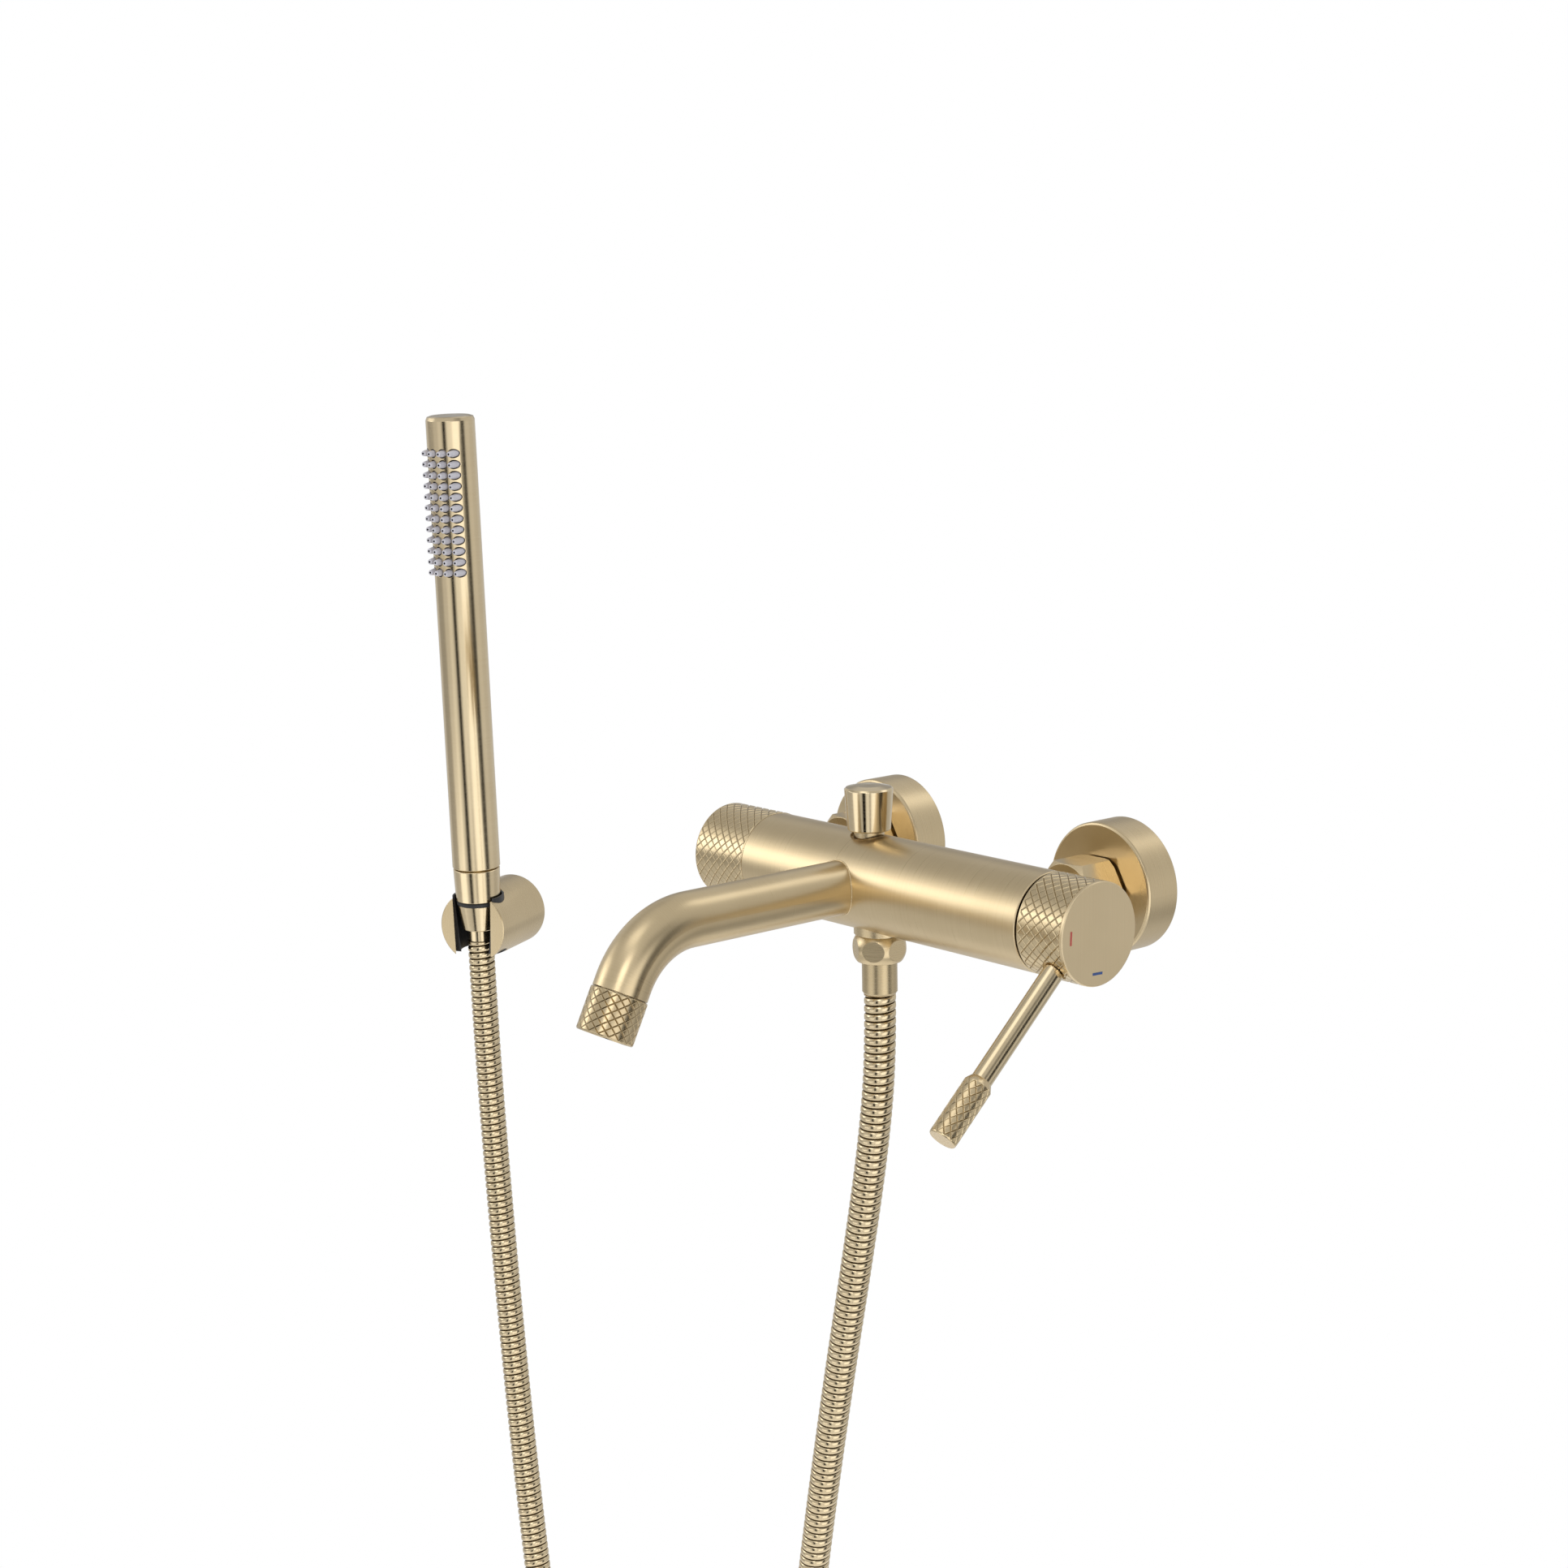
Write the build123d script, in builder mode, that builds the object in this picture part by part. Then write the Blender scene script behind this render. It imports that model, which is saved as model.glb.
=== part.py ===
"""Wall mounted bath mixer with a swan spout, a pull-up diverter, a single side lever,
and a stick hand shower on a flexible hose, resting in a forked wall holder.

Frame: +X runs along the mixer body towards the lever, the wall is the plane Y = 0 with
the room on its -Y side, and +Z is up. The origin is midway between the two wall inlets.
All sizes are in millimetres.
"""

import math
import os

from build123d import *

# ---------------------------------------------------------------- general clearances
gap_thread = 0.05        # radial gap between a threaded pair
gap_seat = 0.1           # axial gap between clamped faces that must not touch
gap_run = 0.08           # radial gap of a shaft that turns or slides

# ---------------------------------------------------------------- wall inlets
inlet_spacing = 150.0    # standard centre distance of a bath mixer
stud_radius = 10.48      # G 1/2 outside thread
stud_length = 16.0
rosette_radius = 30.4
rosette_depth = 18.6
rosette_wall = 1.4
nut_across_flats = 30.0  # G 3/4 union nut
nut_length = 21.0
nut_lip = 4.0
nut_stand_off = 1.2      # nut to rosette
union_thread_radius = 12.9
union_bore = 8.0
union_length = 12.5      # thread that stands out of the rosette into the nut
washer_thickness = 1.5

# ---------------------------------------------------------------- mixer body
wall_to_axis = 81.0
body_radius = 22.5
body_left = -75.5        # where the knurled sleeve begins
body_right = 105.5       # where the lever hub begins
sleeve_length = 35.0
sleeve_wall = 1.4
sleeve_proud = 0.3
sleeve_end_wall = 2.5
left_bore = 15.0
plug_length = 9.0
tail_neck = 9.5
tail_flange = 12.0
tail_flange_thickness = 2.5
left_bore_end = -60.0
channel_radius = 3.0
hot_channel = (10.0, -8.0)     # towards the wall and up, from the body's axis
cold_channel = (12.5, 5.0)
mixed_channel = (-3.0, 2.0)

# ---------------------------------------------------------------- mixing cartridge
cartridge_radius = 16.0
cartridge_floor = 80.0   # X of the seat the cartridge stands on
cartridge_length = 20.3
cartridge_neck = 11.0
neck_end = 108.0
turntable_radius = 8.3
turntable_span = (84.0, 104.0)
spindle_radius = 3.5
spindle_end = 121.0
pivot_x = 86.8           # tilt axis of the spindle
pivot_pin_radius = 1.5
flow_tilt = 12.0         # degrees from closed to fully open

# ---------------------------------------------------------------- lever handle
hub_gap = 1.3
hub_length = 27.0
hub_radius = 22.7
hub_rim_wall = 1.2
hub_rim_depth = 9.0
disc_thickness = 1.6
disc_spigot = 2.6
lever_x = 123.6
lever_angle = 42.0       # degrees below the horizontal, towards the room
lever_radius = 4.65
lever_tip = 111.0        # from the body axis to the end of the grip
grip_radius = 6.3
grip_length = 30.5
grip_overlap = 12.0      # rod inside the grip
mark_orbit = 17.0
mark_size = (6.0, 1.1)
mark_depth = 0.3

# ---------------------------------------------------------------- spout
spout_x = -10.0
spout_radius = 12.5
spout_bore = 10.0
spout_reach = 131.7      # body axis to the corner of the bend
spout_turn = 63.0        # degrees the spout turns down
spout_bend = 40.5
spout_drop = 29.4        # corner of the bend to the aerator collar
spout_inset = 16.0       # body axis to the spout's inner end
spout_socket = wall_to_axis + spout_inset
collar_radius = 12.9
collar_length = 20.0
aerator_radius = 9.6

# ---------------------------------------------------------------- diverter
chamber_radius = 7.5
chamber_floor = -3.5
diverter_stroke = 8.0
knob_bottom = body_radius + 1.8
knob_height = 20.0
knob_foot_radius = 10.0
knob_top_radius = 11.3
knob_dome = 1.0
recess_radius = 8.6
recess_floor = body_radius - 2.2
bonnet_radius = 7.0
stem_radius = 3.0
seal_radius = 6.8
seal_thickness = 3.0
spring_wire = 0.5
spring_radius = 4.9

# ---------------------------------------------------------------- hose outlet
outlet_x = -4.0
outlet_flange = 11.7
outlet_flange_bottom = -(body_radius + 0.7)
outlet_flange_top = outlet_flange_bottom + 4.7
outlet_plug_top = outlet_flange_top + 5.5
outlet_plug_radius = 8.0
outlet_thread = 10.3
outlet_thread_end = outlet_flange_bottom - 10.4
outlet_bore = 5.0
hose_nut_span = (outlet_flange_bottom - 0.6, outlet_flange_bottom - 13.0)
hose_nut_flats = 22.8
hose_nut_radius = 12.6
hose_nut_facet_turn = 33.2
hose_ferrule_radius = 8.2
hose_ferrule_end = outlet_flange_bottom - 29.0
hose_diameter = 15.0
hose_bore = 9.0

# ---------------------------------------------------------------- hand shower holder
holder_x = -375.0
holder_z = -88.0
bore_to_wall = 52.0
holder_yaw = 27.0        # degrees the holder is turned towards +X
holder_radius = 20.2
holder_front = 9.0       # bore axis to the flat front face
holder_back = 42.0       # bore axis to the back end
holder_bore = 14.7
liner_wall = 1.1
liner_span = (-15.0, 17.5)
liner_foot_radius = 11.5
plate_radius = 10.5
plate_thickness = 4.0
stub_radius = 8.0
stub_hole_depth = 12.0
fixing_radius = 3.0
fixing_depth = 9.0

# ---------------------------------------------------------------- hand shower
handset_lean = 2.2       # degrees the handset leans out from the wall
handset_radius = 13.5
handset_wall = 1.3
handset_foot = 34.3
handset_top = 289.4
cone_top = 33.4
cone_foot = 14.9
cone_top_radius = 13.2
cone_foot_radius = 12.6
ring_foot = 12.4
swivel_foot = -2.1
swivel_top_radius = 11.9
swivel_foot_radius = 9.8
swivel_stem = 6.0
swivel_flange = 8.0
swivel_bore = 4.5
neck_foot = -9.1
neck_radius = 6.8
thread_radius = 10.25
nozzle_rows = 12
nozzle_pitch = 5.97
nozzle_first = 269.6
nozzle_angles = (-40.0, -13.4, 13.4, 40.0)
nozzle_turn = -8.0       # degrees the spray is turned from the holder's front
nozzle_root_radius = 2.1
nozzle_tip_radius = 1.3
nozzle_reach = 17.7      # radius of the round the tips end on
nozzle_bore = 0.5
nozzle_gap = 0.4         # round each nozzle in the tube
mat_thickness = 1.45     # rubber mat the nozzles stand on, inside the tube
mat_angle = 60.0         # half of the round it covers, in degrees

# ---------------------------------------------------------------- hose route
# The outlet and the handset's neck are its first and last points; these lie between,
# and one more point a lead's length below the neck.
hose_lead = 53.0         # last run, in line with the handset's neck
hose_free_points = [
    (-4.0, -81.0, -82.0),
    (-9.0, -81.3, -124.0),
    (-20.0, -81.8, -180.0),
    (-38.0, -82.0, -260.0),
    (-59.0, -81.5, -362.0),
    (-77.0, -80.0, -465.0),
    (-92.0, -78.5, -565.0),
    (-108.0, -76.0, -655.0),
    (-143.0, -73.0, -702.0),
    (-192.0, -70.0, -719.0),
    (-245.0, -66.0, -706.0),
    (-287.0, -62.0, -668.0),
    (-307.0, -59.0, -606.0),
    (-328.0, -56.0, -515.0),
    (-348.0, -53.0, -412.0),
    (-362.0, -51.0, -310.0),
    (-372.0, -49.5, -220.0),
]


# ================================================================ construction helpers
def facing_x(x, y=-wall_to_axis, z=0.0):
    """A plane whose normal is +X."""
    return Plane(origin=(x, y, z), x_dir=(0, 1, 0), z_dir=(1, 0, 0))


def facing_room(x, y, z=0.0):
    """A plane whose normal points away from the wall."""
    return Plane(origin=(x, y, z), x_dir=(1, 0, 0), z_dir=(0, -1, 0))


def facing_up(x, y, z):
    """A plane whose normal is +Z."""
    return Plane(origin=(x, y, z), x_dir=(1, 0, 0), z_dir=(0, 0, 1))


def turn(plane, outline, mode=Mode.ADD):
    """Turn an outline of (radius, height) points about the plane's normal."""
    side = Plane(origin=plane.origin, x_dir=plane.x_dir, z_dir=-plane.y_dir)
    with BuildSketch(side) as profile:
        with BuildLine():
            Polyline(*outline, close=True)
        make_face()
    revolve(profile.sketch, axis=Axis(plane.origin, plane.z_dir), mode=mode)


def rod(plane, radius, start, end, bore=0.0, chamfer_size=0.0):
    """Add a round bar or tube between two heights on the plane."""
    c = chamfer_size
    outline = [(bore, start), (radius - c, start), (radius, start + c),
               (radius, end - c), (radius - c, end), (bore, end)]
    if c == 0:
        outline = [(bore, start), (radius, start), (radius, end), (bore, end)]
    turn(plane, outline)


def drill(plane, radius, start, end):
    """Cut a round hole between two heights on the plane."""
    turn(plane, [(0, start), (radius, start), (radius, end), (0, end)], Mode.SUBTRACT)


def keep(piece, label):
    """Name a finished piece and write its STEP file."""
    piece.part.label = label
    export_step(piece.part, f"parts/{label}.step")


# ================================================================ shared places
lever_direction = Vector(0, -math.cos(math.radians(lever_angle)),
                         -math.sin(math.radians(lever_angle)))
tilt_direction = Vector(0, -math.sin(math.radians(lever_angle)),
                        math.cos(math.radians(lever_angle)))
hub_left = body_right + hub_gap
hub_right = hub_left + hub_length
body_axis = facing_x(0)
lever_axis = Plane(origin=(lever_x, -wall_to_axis, 0), x_dir=(1, 0, 0),
                   z_dir=lever_direction)
diverter_axis = facing_up(spout_x, -wall_to_axis, 0)
outlet_axis = facing_up(outlet_x, -wall_to_axis, 0)
yaw = math.radians(holder_yaw)
lean = math.radians(handset_lean)
holder_forward = Vector(math.sin(yaw), -math.cos(yaw), 0)
holder_side = Vector(math.cos(yaw), math.sin(yaw), 0)
holder_centre = Vector(holder_x, -bore_to_wall, holder_z)
holder_axis = Plane(origin=holder_centre, x_dir=holder_side, z_dir=-holder_forward)
handset_direction = (Vector(0, 0, 1) + holder_forward * math.tan(lean)).normalized()
handset_axis = Plane(origin=holder_centre, x_dir=holder_side, z_dir=handset_direction)
nut_wall_end = -(rosette_depth + nut_stand_off)
nut_room_end = nut_wall_end - nut_length
tail_face = -(rosette_depth + union_length + washer_thickness + gap_seat)


# ================================================================ mixer body
def mixer_body():
    """Cast body with a hot side channel, two inlet tails and a cartridge chamber."""
    stem_left = body_left - sleeve_length + sleeve_end_wall + gap_seat
    stem_radius_left = body_radius + sleeve_proud - sleeve_wall - gap_thread
    with BuildPart() as piece:
        turn(body_axis, [(0, stem_left), (stem_radius_left, stem_left),
                         (stem_radius_left, body_left), (body_radius, body_left),
                         (body_radius, body_right - 0.4), (body_radius - 0.4, body_right),
                         (0, body_right)])
        for side in (-1, 1):
            tail = facing_room(side * inlet_spacing / 2, 0)
            rod(tail, tail_neck, -tail_face, wall_to_axis - left_bore)
            rod(tail, tail_flange, -tail_face, -tail_face + tail_flange_thickness)
            drill(tail, union_bore - 1, -tail_face, wall_to_axis - left_bore + 1.5)
        drill(body_axis, left_bore, stem_left, left_bore_end)
        drill(body_axis, cartridge_radius + gap_run, cartridge_floor, body_right)
        for (inward, height), start in ((hot_channel, left_bore_end - 1),
                                        (cold_channel, inlet_spacing / 2), (mixed_channel, spout_x)):
            channel = facing_x(0, inward - wall_to_axis, height)
            drill(channel, channel_radius, start, cartridge_floor + 0.5)
        drill(diverter_axis, chamber_radius, chamber_floor, body_radius + 1)
        drill(diverter_axis, recess_radius, recess_floor, body_radius + 1)
        drill(outlet_axis, outlet_bore, -body_radius, chamber_floor + 0.5)
        drill(outlet_axis, outlet_plug_radius, -body_radius - 1, outlet_plug_top)
        drill(outlet_axis, outlet_flange + gap_thread, -body_radius - 1, outlet_flange_top)
        spout_root = facing_room(spout_x, 0)
        drill(spout_root, spout_radius + gap_thread, spout_socket, wall_to_axis + body_radius + 1)
        drill(spout_root, spout_bore - 3, wall_to_axis, spout_socket + 0.5)
    keep(piece, "mixer_body")


def left_sleeve():
    """Knurled sleeve over the body's left end, notched at the back for the inlet tail."""
    left = body_left - sleeve_length
    outer = body_radius + sleeve_proud
    with BuildPart() as piece:
        turn(body_axis, [(0, left), (outer - 0.4, left), (outer, left + 0.4),
                         (outer, body_left - 0.1), (outer - sleeve_wall, body_left - 0.1),
                         (outer - sleeve_wall, left + sleeve_end_wall), (0, left + sleeve_end_wall)])
        tail = facing_room(-inlet_spacing / 2, 0)
        drill(tail, tail_neck + 1, -nut_room_end, wall_to_axis)
    keep(piece, "left_sleeve")


def body_end_plug():
    """Threaded plug that closes the hot side of the body."""
    start = body_left - sleeve_length + sleeve_end_wall + gap_seat
    with BuildPart() as piece:
        rod(body_axis, left_bore - gap_thread, start, start + plug_length, chamfer_size=0.8)
        drill(body_axis, 4.0, start - 0.1, start + 5)
    keep(piece, "body_end_plug")


def inlet_set(side, name):
    """The union, nut, washer and rosette of one wall inlet."""
    axis = facing_room(side * inlet_spacing / 2, 0)
    thread_end = rosette_depth + union_length
    with BuildPart() as union:
        turn(axis, [(union_bore, -stud_length), (stud_radius - 1, -stud_length),
                    (stud_radius, -stud_length + 1), (stud_radius, 2),
                    (union_thread_radius, 4), (union_thread_radius, thread_end),
                    (union_bore, thread_end)])
    keep(union, f"wall_union_{name}")
    with BuildPart() as nut:
        with BuildSketch(facing_room(side * inlet_spacing / 2, nut_wall_end)) as flats:
            RegularPolygon(nut_across_flats / 2, 6, major_radius=False)
        extrude(flats.sketch, amount=nut_length)
        corner = nut_across_flats / 2 / math.cos(math.pi / 6)
        near, far = -nut_wall_end, -nut_room_end
        turn(axis, [(0, near), (corner - 1.6, near), (corner, near + 1.4),
                    (corner, far - 2.2), (corner - 2.6, far), (0, far)], Mode.INTERSECT)
        drill(axis, union_thread_radius + gap_thread, near, far - nut_lip)
        drill(axis, tail_neck + 0.3, near, far)
    keep(nut, f"union_nut_{name}")
    with BuildPart() as washer:
        rod(axis, tail_flange - 0.4, thread_end, thread_end + washer_thickness, bore=union_bore - 1)
    keep(washer, f"filter_washer_{name}")
    with BuildPart() as rosette:
        inner = union_thread_radius + gap_thread
        turn(axis, [(rosette_radius, 0), (rosette_radius, rosette_depth - 1.2),
                    (rosette_radius - 0.4, rosette_depth - 0.35), (rosette_radius - 1.2, rosette_depth),
                    (inner, rosette_depth), (inner, rosette_depth - rosette_wall),
                    (rosette_radius - rosette_wall, rosette_depth - rosette_wall),
                    (rosette_radius - rosette_wall, 0)])
    keep(rosette, f"wall_rosette_{name}")


# ================================================================ mixing cartridge
def cartridge():
    """Cartridge case, its clamping nut, the turntable, the pivot pin and the spindle."""
    floor = cartridge_floor + gap_seat
    shoulder = floor + cartridge_length
    low, high = turntable_span
    with BuildPart() as case:
        turn(body_axis, [(0, floor), (cartridge_radius, floor), (cartridge_radius, shoulder),
                         (cartridge_neck, shoulder), (cartridge_neck, neck_end), (0, neck_end)])
        drill(body_axis, turntable_radius + gap_run, low - 1, neck_end)
    keep(case, "cartridge_case")
    with BuildPart() as nut:
        rod(body_axis, cartridge_radius, shoulder + gap_seat, body_right - 0.3,
            bore=cartridge_neck + gap_thread)
    keep(nut, "cartridge_nut")
    slot_width = 2 * (spindle_radius + 0.15)
    swing = (high - pivot_x) * math.tan(math.radians(flow_tilt)) + spindle_radius + 0.2
    with BuildPart() as turntable:
        rod(body_axis, turntable_radius, low, high)
        slot_plane = Plane(origin=(low, -wall_to_axis, 0), x_dir=lever_direction, z_dir=(1, 0, 0))
        with BuildSketch(slot_plane) as slot:
            with Locations(((spindle_radius + 0.6 - swing) / 2, 0)):
                Rectangle(spindle_radius + 0.6 + swing, slot_width)
        extrude(slot.sketch, amount=high - low, mode=Mode.SUBTRACT)
        pin_axis = Plane(origin=(pivot_x, -wall_to_axis, 0), x_dir=(1, 0, 0), z_dir=tilt_direction)
        drill(pin_axis, pivot_pin_radius, -turntable_radius - 1, turntable_radius + 1)
    keep(turntable, "cartridge_turntable")
    with BuildPart() as pin:
        reach = turntable_radius - 0.6
        rod(pin_axis, pivot_pin_radius, -reach, reach)
    keep(pin, "pivot_pin")
    with BuildPart() as spindle:
        rod(body_axis, spindle_radius, low + 0.4, spindle_end, chamfer_size=0.4)
        drill(pin_axis, pivot_pin_radius + gap_run, -spindle_radius - 1, spindle_radius + 1)
    keep(spindle, "cartridge_spindle")


# ================================================================ lever handle
def lever_handle():
    """Knurled hub, its end disc with two marks, the lever rod and the knurled grip."""
    disc_left = hub_right - disc_thickness
    spigot_left = disc_left - disc_spigot
    web_left = hub_left + hub_rim_depth
    spigot = hub_radius - 3.2
    with BuildPart() as hub:
        turn(body_axis, [(hub_radius - hub_rim_wall, hub_left), (hub_radius - 0.4, hub_left),
                         (hub_radius, hub_left + 0.4), (hub_radius, disc_left),
                         (spigot, disc_left), (spigot, spigot_left), (0, spigot_left),
                         (0, web_left), (spigot, web_left),
                         (hub_radius - hub_rim_wall, web_left - 3)])
        drill(body_axis, spindle_radius + gap_thread, web_left, spindle_end + 0.1)
        drill(lever_axis, lever_radius + gap_thread, 6, hub_radius + 1)
        drill(lever_axis, lever_radius + 1.1, hub_radius - 1.4, hub_radius + 1)
        drill(lever_axis, 2.0, -hub_radius - 1, -2)
    keep(hub, "handle_hub")
    with BuildPart() as grub:
        rod(lever_axis, 1.95, -11, -spindle_radius - 1.0)
        with BuildSketch(Plane(origin=lever_axis.origin - lever_direction * 11,
                               x_dir=(1, 0, 0), z_dir=lever_direction)) as key:
            RegularPolygon(1.0, 6)
        extrude(key.sketch, amount=2.5, mode=Mode.SUBTRACT)
    keep(grub, "handle_grub_screw")
    marks = []
    for name, turn_from_lever in (("hot_mark", -45.0), ("cold_mark", 45.0)):
        angle = math.radians(lever_angle + turn_from_lever)
        outward = Vector(0, -math.cos(angle), -math.sin(angle))
        centre = Vector(hub_right - mark_depth, -wall_to_axis, 0) + outward * mark_orbit
        marks.append((name, Plane(origin=centre, x_dir=outward, z_dir=(1, 0, 0))))
    with BuildPart() as disc:
        turn(body_axis, [(0, spigot_left + gap_seat), (spigot - gap_thread, spigot_left + gap_seat),
                         (spigot - gap_thread, disc_left), (hub_radius - 0.05, disc_left),
                         (hub_radius - 0.05, hub_right - 0.35), (hub_radius - 0.4, hub_right),
                         (0, hub_right)])
        for name, place in marks:
            with BuildSketch(place) as pocket:
                Rectangle(mark_size[1], mark_size[0])
            extrude(pocket.sketch, amount=mark_depth + 0.1, mode=Mode.SUBTRACT)
    keep(disc, "handle_disc")
    for name, place in marks:
        with BuildPart() as mark:
            with BuildSketch(place) as bar:
                Rectangle(mark_size[1], mark_size[0])
            extrude(bar.sketch, amount=mark_depth + 0.04)
        keep(mark, name)
    grip_start = lever_tip - grip_length
    with BuildPart() as rod_piece:
        rod(lever_axis, lever_radius, 6.2, grip_start)
        rod(lever_axis, 3.0, grip_start, grip_start + grip_overlap)
    keep(rod_piece, "lever_rod")
    with BuildPart() as grip:
        turn(lever_axis, [(0, grip_start), (lever_radius + 0.25, grip_start),
                          (grip_radius, grip_start + 2.6), (grip_radius, lever_tip - 0.4),
                          (grip_radius - 0.4, lever_tip), (0, lever_tip)])
        drill(lever_axis, 3.0 + gap_thread, grip_start, grip_start + grip_overlap + 0.2)
    keep(grip, "lever_grip")


# ================================================================ spout
def spout():
    """Bent spout tube, the knurled collar, its aerator insert and washer."""
    bend = math.radians(spout_turn)
    corner_y = -wall_to_axis - spout_reach
    tip = Vector(spout_x, corner_y - spout_drop * math.cos(bend), -spout_drop * math.sin(bend))
    outward = Vector(0, -math.cos(bend), -math.sin(bend))
    tip_plane = Plane(origin=tip, x_dir=(1, 0, 0), z_dir=outward)
    with BuildPart() as tube:
        with BuildLine() as path:
            FilletPolyline((spout_x, -spout_socket, 0), (spout_x, corner_y, 0),
                           tuple(tip), radius=spout_bend)
        with BuildSketch(facing_room(spout_x, -spout_socket)) as wall:
            Circle(spout_radius)
            Circle(spout_bore, mode=Mode.SUBTRACT)
        sweep(wall.sketch, path=path.line)
    keep(tube, "spout_tube")
    with BuildPart() as collar:
        turn(tip_plane, [(spout_bore - 2.2, -5), (spout_bore - gap_thread, -5),
                         (spout_bore - gap_thread, 0.3), (collar_radius - 0.3, 0.3),
                         (collar_radius, 0.6), (collar_radius, collar_length - 0.5),
                         (collar_radius - 0.5, collar_length), (collar_radius - 1.6, collar_length),
                         (aerator_radius + 0.6, collar_length - 2.2), (aerator_radius + 0.6, 6),
                         (spout_bore - 2.2, 6)])
    keep(collar, "aerator_collar")
    with BuildPart() as insert:
        rod(tip_plane, aerator_radius + 0.5, 7.6, collar_length - 2.4, chamfer_size=0.5)
        with BuildSketch(tip_plane.offset(collar_length - 5.4)) as mesh:
            with PolarLocations(6.0, 12):
                Circle(1.0)
            with PolarLocations(3.0, 6):
                Circle(1.0)
            Circle(1.0)
        extrude(mesh.sketch, amount=3.1, mode=Mode.SUBTRACT)
    keep(insert, "aerator_insert")
    with BuildPart() as washer:
        rod(tip_plane, aerator_radius, 6.0, 7.6, bore=spout_bore - 3)
    keep(washer, "aerator_washer")


# ================================================================ diverter
def diverter():
    """Pull-up knob with its stem and seal, the bonnet they pass through and a spring."""
    knob_top = knob_bottom + knob_height
    with BuildPart() as knob:
        turn(diverter_axis, [(0, knob_bottom), (knob_foot_radius - 0.5, knob_bottom),
                             (knob_foot_radius, knob_bottom + 0.5),
                             (knob_top_radius, knob_top - 1.0), (knob_top_radius - 0.8, knob_top - 0.2),
                             (knob_top_radius * 0.55, knob_top + knob_dome * 0.7),
                             (0, knob_top + knob_dome)])
        drill(diverter_axis, stem_radius + gap_thread, knob_bottom - 1, knob_bottom + 12)
    keep(knob, "diverter_knob")
    seal_floor = chamber_floor + gap_seat
    with BuildPart() as stem:
        rod(diverter_axis, stem_radius, seal_floor + seal_thickness, knob_bottom + 11.8)
        rod(diverter_axis, 2.0, seal_floor + 0.4, seal_floor + seal_thickness)
    keep(stem, "diverter_stem")
    with BuildPart() as seal:
        rod(diverter_axis, seal_radius, seal_floor, seal_floor + seal_thickness,
            bore=2.0 + gap_thread, chamfer_size=0.5)
    keep(seal, "diverter_seal")
    bonnet_floor = seal_floor + seal_thickness + diverter_stroke + 2.5
    with BuildPart() as bonnet:
        turn(diverter_axis, [(stem_radius + gap_run, bonnet_floor),
                             (chamber_radius - gap_thread, bonnet_floor),
                             (chamber_radius - gap_thread, recess_floor),
                             (bonnet_radius, recess_floor), (bonnet_radius, knob_bottom - 0.4),
                             (stem_radius + gap_run, knob_bottom - 0.4)])
    keep(bonnet, "diverter_bonnet")
    spring_floor = seal_floor + seal_thickness + 0.1
    spring_height = bonnet_floor - 0.1 - spring_floor - 2 * spring_wire
    with BuildPart() as spring:
        with BuildLine() as coil:
            Helix(pitch=spring_height / 4, height=spring_height, radius=spring_radius,
                  center=(spout_x, -wall_to_axis, spring_floor + spring_wire))
        start = coil.line @ 0
        with BuildSketch(Plane(origin=start, z_dir=coil.line % 0)) as wire:
            Circle(spring_wire)
        sweep(wire.sketch, path=coil.line, is_frenet=True)
    keep(spring, "diverter_spring")


# ================================================================ hose outlet
def hose_outlet():
    """Outlet nipple under the body, the hose nut, its washer and the end ferrule."""
    top, foot = hose_nut_span
    with BuildPart() as nipple:
        turn(outlet_axis, [(outlet_bore, outlet_thread_end), (outlet_thread - 0.6, outlet_thread_end),
                           (outlet_thread, outlet_thread_end + 0.6),
                           (outlet_thread, outlet_flange_bottom),
                           (outlet_flange, outlet_flange_bottom), (outlet_flange, outlet_flange_top),
                           (outlet_plug_radius - gap_thread, outlet_flange_top),
                           (outlet_plug_radius - gap_thread, outlet_plug_top),
                           (outlet_bore, outlet_plug_top)])
    keep(nipple, "outlet_nipple")
    with BuildPart() as nut:
        middle = (top + foot) / 2
        end_radius = hose_nut_flats / 2 - 0.9
        with BuildSketch(Plane(origin=outlet_axis.origin, x_dir=(1, 0, 0), z_dir=(0, -1, 0))) as barrel:
            with BuildLine():
                Line((0, top), (end_radius, top))
                ThreePointArc((end_radius, top), (hose_nut_radius, middle), (end_radius, foot))
                Line((end_radius, foot), (0, foot))
                Line((0, foot), (0, top))
            make_face()
        revolve(barrel.sketch, axis=Axis(outlet_axis.origin, (0, 0, 1)))
        with BuildSketch(outlet_axis.offset(foot)) as flats:
            RegularPolygon(hose_nut_flats / 2, 6, major_radius=False,
                           rotation=hose_nut_facet_turn)
        extrude(flats.sketch, amount=top - foot, mode=Mode.INTERSECT)
        drill(outlet_axis, outlet_thread + gap_thread, foot + 1.3, top)
        drill(outlet_axis, hose_ferrule_radius + gap_thread, foot, top)
    keep(nut, "hose_nut")
    with BuildPart() as washer:
        rod(outlet_axis, outlet_thread - 0.2, outlet_thread_end - 0.9, outlet_thread_end, bore=outlet_bore)
    keep(washer, "hose_washer")
    with BuildPart() as ferrule:
        turn(outlet_axis, [(outlet_bore, hose_ferrule_end), (hose_ferrule_radius - 1.0, hose_ferrule_end),
                           (hose_ferrule_radius, hose_ferrule_end + 1.4),
                           (hose_ferrule_radius, foot + 1.35), (outlet_thread - 0.1, foot + 1.35),
                           (outlet_thread - 0.1, foot + 1.65), (outlet_bore, foot + 1.65)])
    keep(ferrule, "hose_ferrule")


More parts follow.
